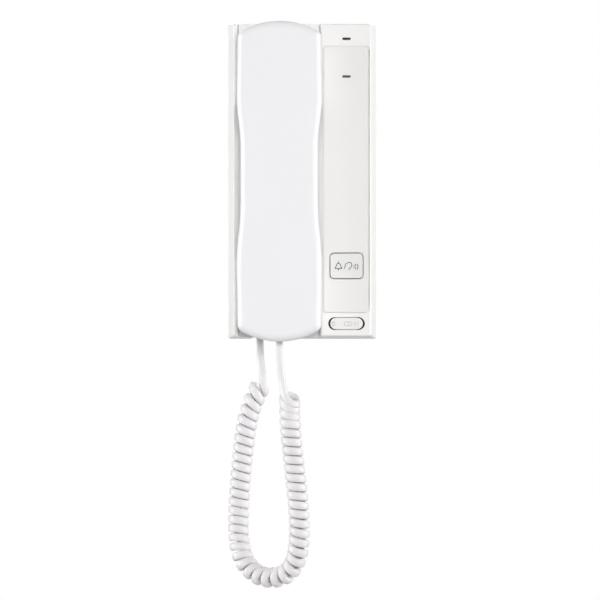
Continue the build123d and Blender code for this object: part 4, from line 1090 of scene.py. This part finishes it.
class INTERCOM_OT_stage(bpy.types.Operator):
    """Set up the camera, the lamps, the world and the floor"""

    bl_idname = "intercom.stage"
    bl_label = "Stage"

    def execute(self, context):
        settings = context.scene.intercom_stage
        target = Vector((settings.view_x, 0.0, settings.view_z))
        camera = bpy.data.cameras.new("camera")
        camera.sensor_width = 36.0
        camera.lens = camera.sensor_width * settings.view_distance / settings.view_width
        camera.clip_end = 50.0
        holder = bpy.data.objects.new("camera", camera)
        context.scene.collection.objects.link(holder)
        aim(holder, (settings.view_x, -settings.view_distance, settings.view_z), target)
        context.scene.camera = holder
        for name, place, size, power, spread in (
            ("left_lamp", (-1.5, -0.15, 0.05), (1.0, 1.4), settings.side_power, 70),
            ("right_lamp", (1.5, -0.15, 0.05), (1.0, 1.4), settings.side_power, 70),
            ("front_lamp", (0.12, -2.45, 0.3), (0.8, 0.8), settings.front_power, 60),
            ("back_lamp", (0.0, 2.2, 0.5), (1.2, 1.2), settings.back_power, 70),
        ):
            lamp = area_lamp(name, place, size, power, spread)
            # Reflected, the front lamp would be a white spot in the dark lenses
            lamp.visible_glossy = name != "front_lamp"
        make_world(settings.world_above, settings.world_below)
        make_floor(CAD_BOX[0][2] - settings.floor_drop)
        context.scene.view_settings.view_transform = "Standard"
        return {"FINISHED"}


class INTERCOM_PT_station(bpy.types.Panel):
    """The station's settings and steps"""

    bl_label = "Intercom Station"
    bl_space_type = "VIEW_3D"
    bl_region_type = "UI"
    bl_category = "Intercom"

    def draw(self, context):
        """A button for each step, then each group of settings."""
        for operator in OPERATORS:
            self.layout.operator(operator.bl_idname)
        for group in SETTINGS:
            box = self.layout.box()
            holder = getattr(context.scene, group)
            for name in holder.__annotations__:
                box.prop(holder, name)


SETTINGS = {
    "intercom_cord": CordSettings,
    "intercom_finish": FinishSettings,
    "intercom_marks": MarkSettings,
    "intercom_fittings": FittingSettings,
    "intercom_stage": StageSettings,
}
OPERATORS = (
    INTERCOM_OT_finishes, INTERCOM_OT_stage, INTERCOM_OT_cord, INTERCOM_OT_marks,
    INTERCOM_OT_fittings,
)


def register():
    """Adds the settings, the operators and the panel."""
    for group in SETTINGS.values():
        bpy.utils.register_class(group)
    for name, group in SETTINGS.items():
        setattr(bpy.types.Scene, name, PointerProperty(type=group))
    for operator in OPERATORS:
        bpy.utils.register_class(operator)
    bpy.utils.register_class(INTERCOM_PT_station)


def unregister():
    """Takes out what register added."""
    bpy.utils.unregister_class(INTERCOM_PT_station)
    for operator in reversed(OPERATORS):
        bpy.utils.unregister_class(operator)
    for name, group in SETTINGS.items():
        delattr(bpy.types.Scene, name)
        bpy.utils.unregister_class(group)


def main():
    """Registers the add-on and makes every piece."""
    register()
    bpy.ops.intercom.finishes()
    bpy.ops.intercom.stage()
    bpy.ops.intercom.cord()
    bpy.ops.intercom.marks()
    bpy.ops.intercom.fittings()


if __name__ == "__main__":
    main()
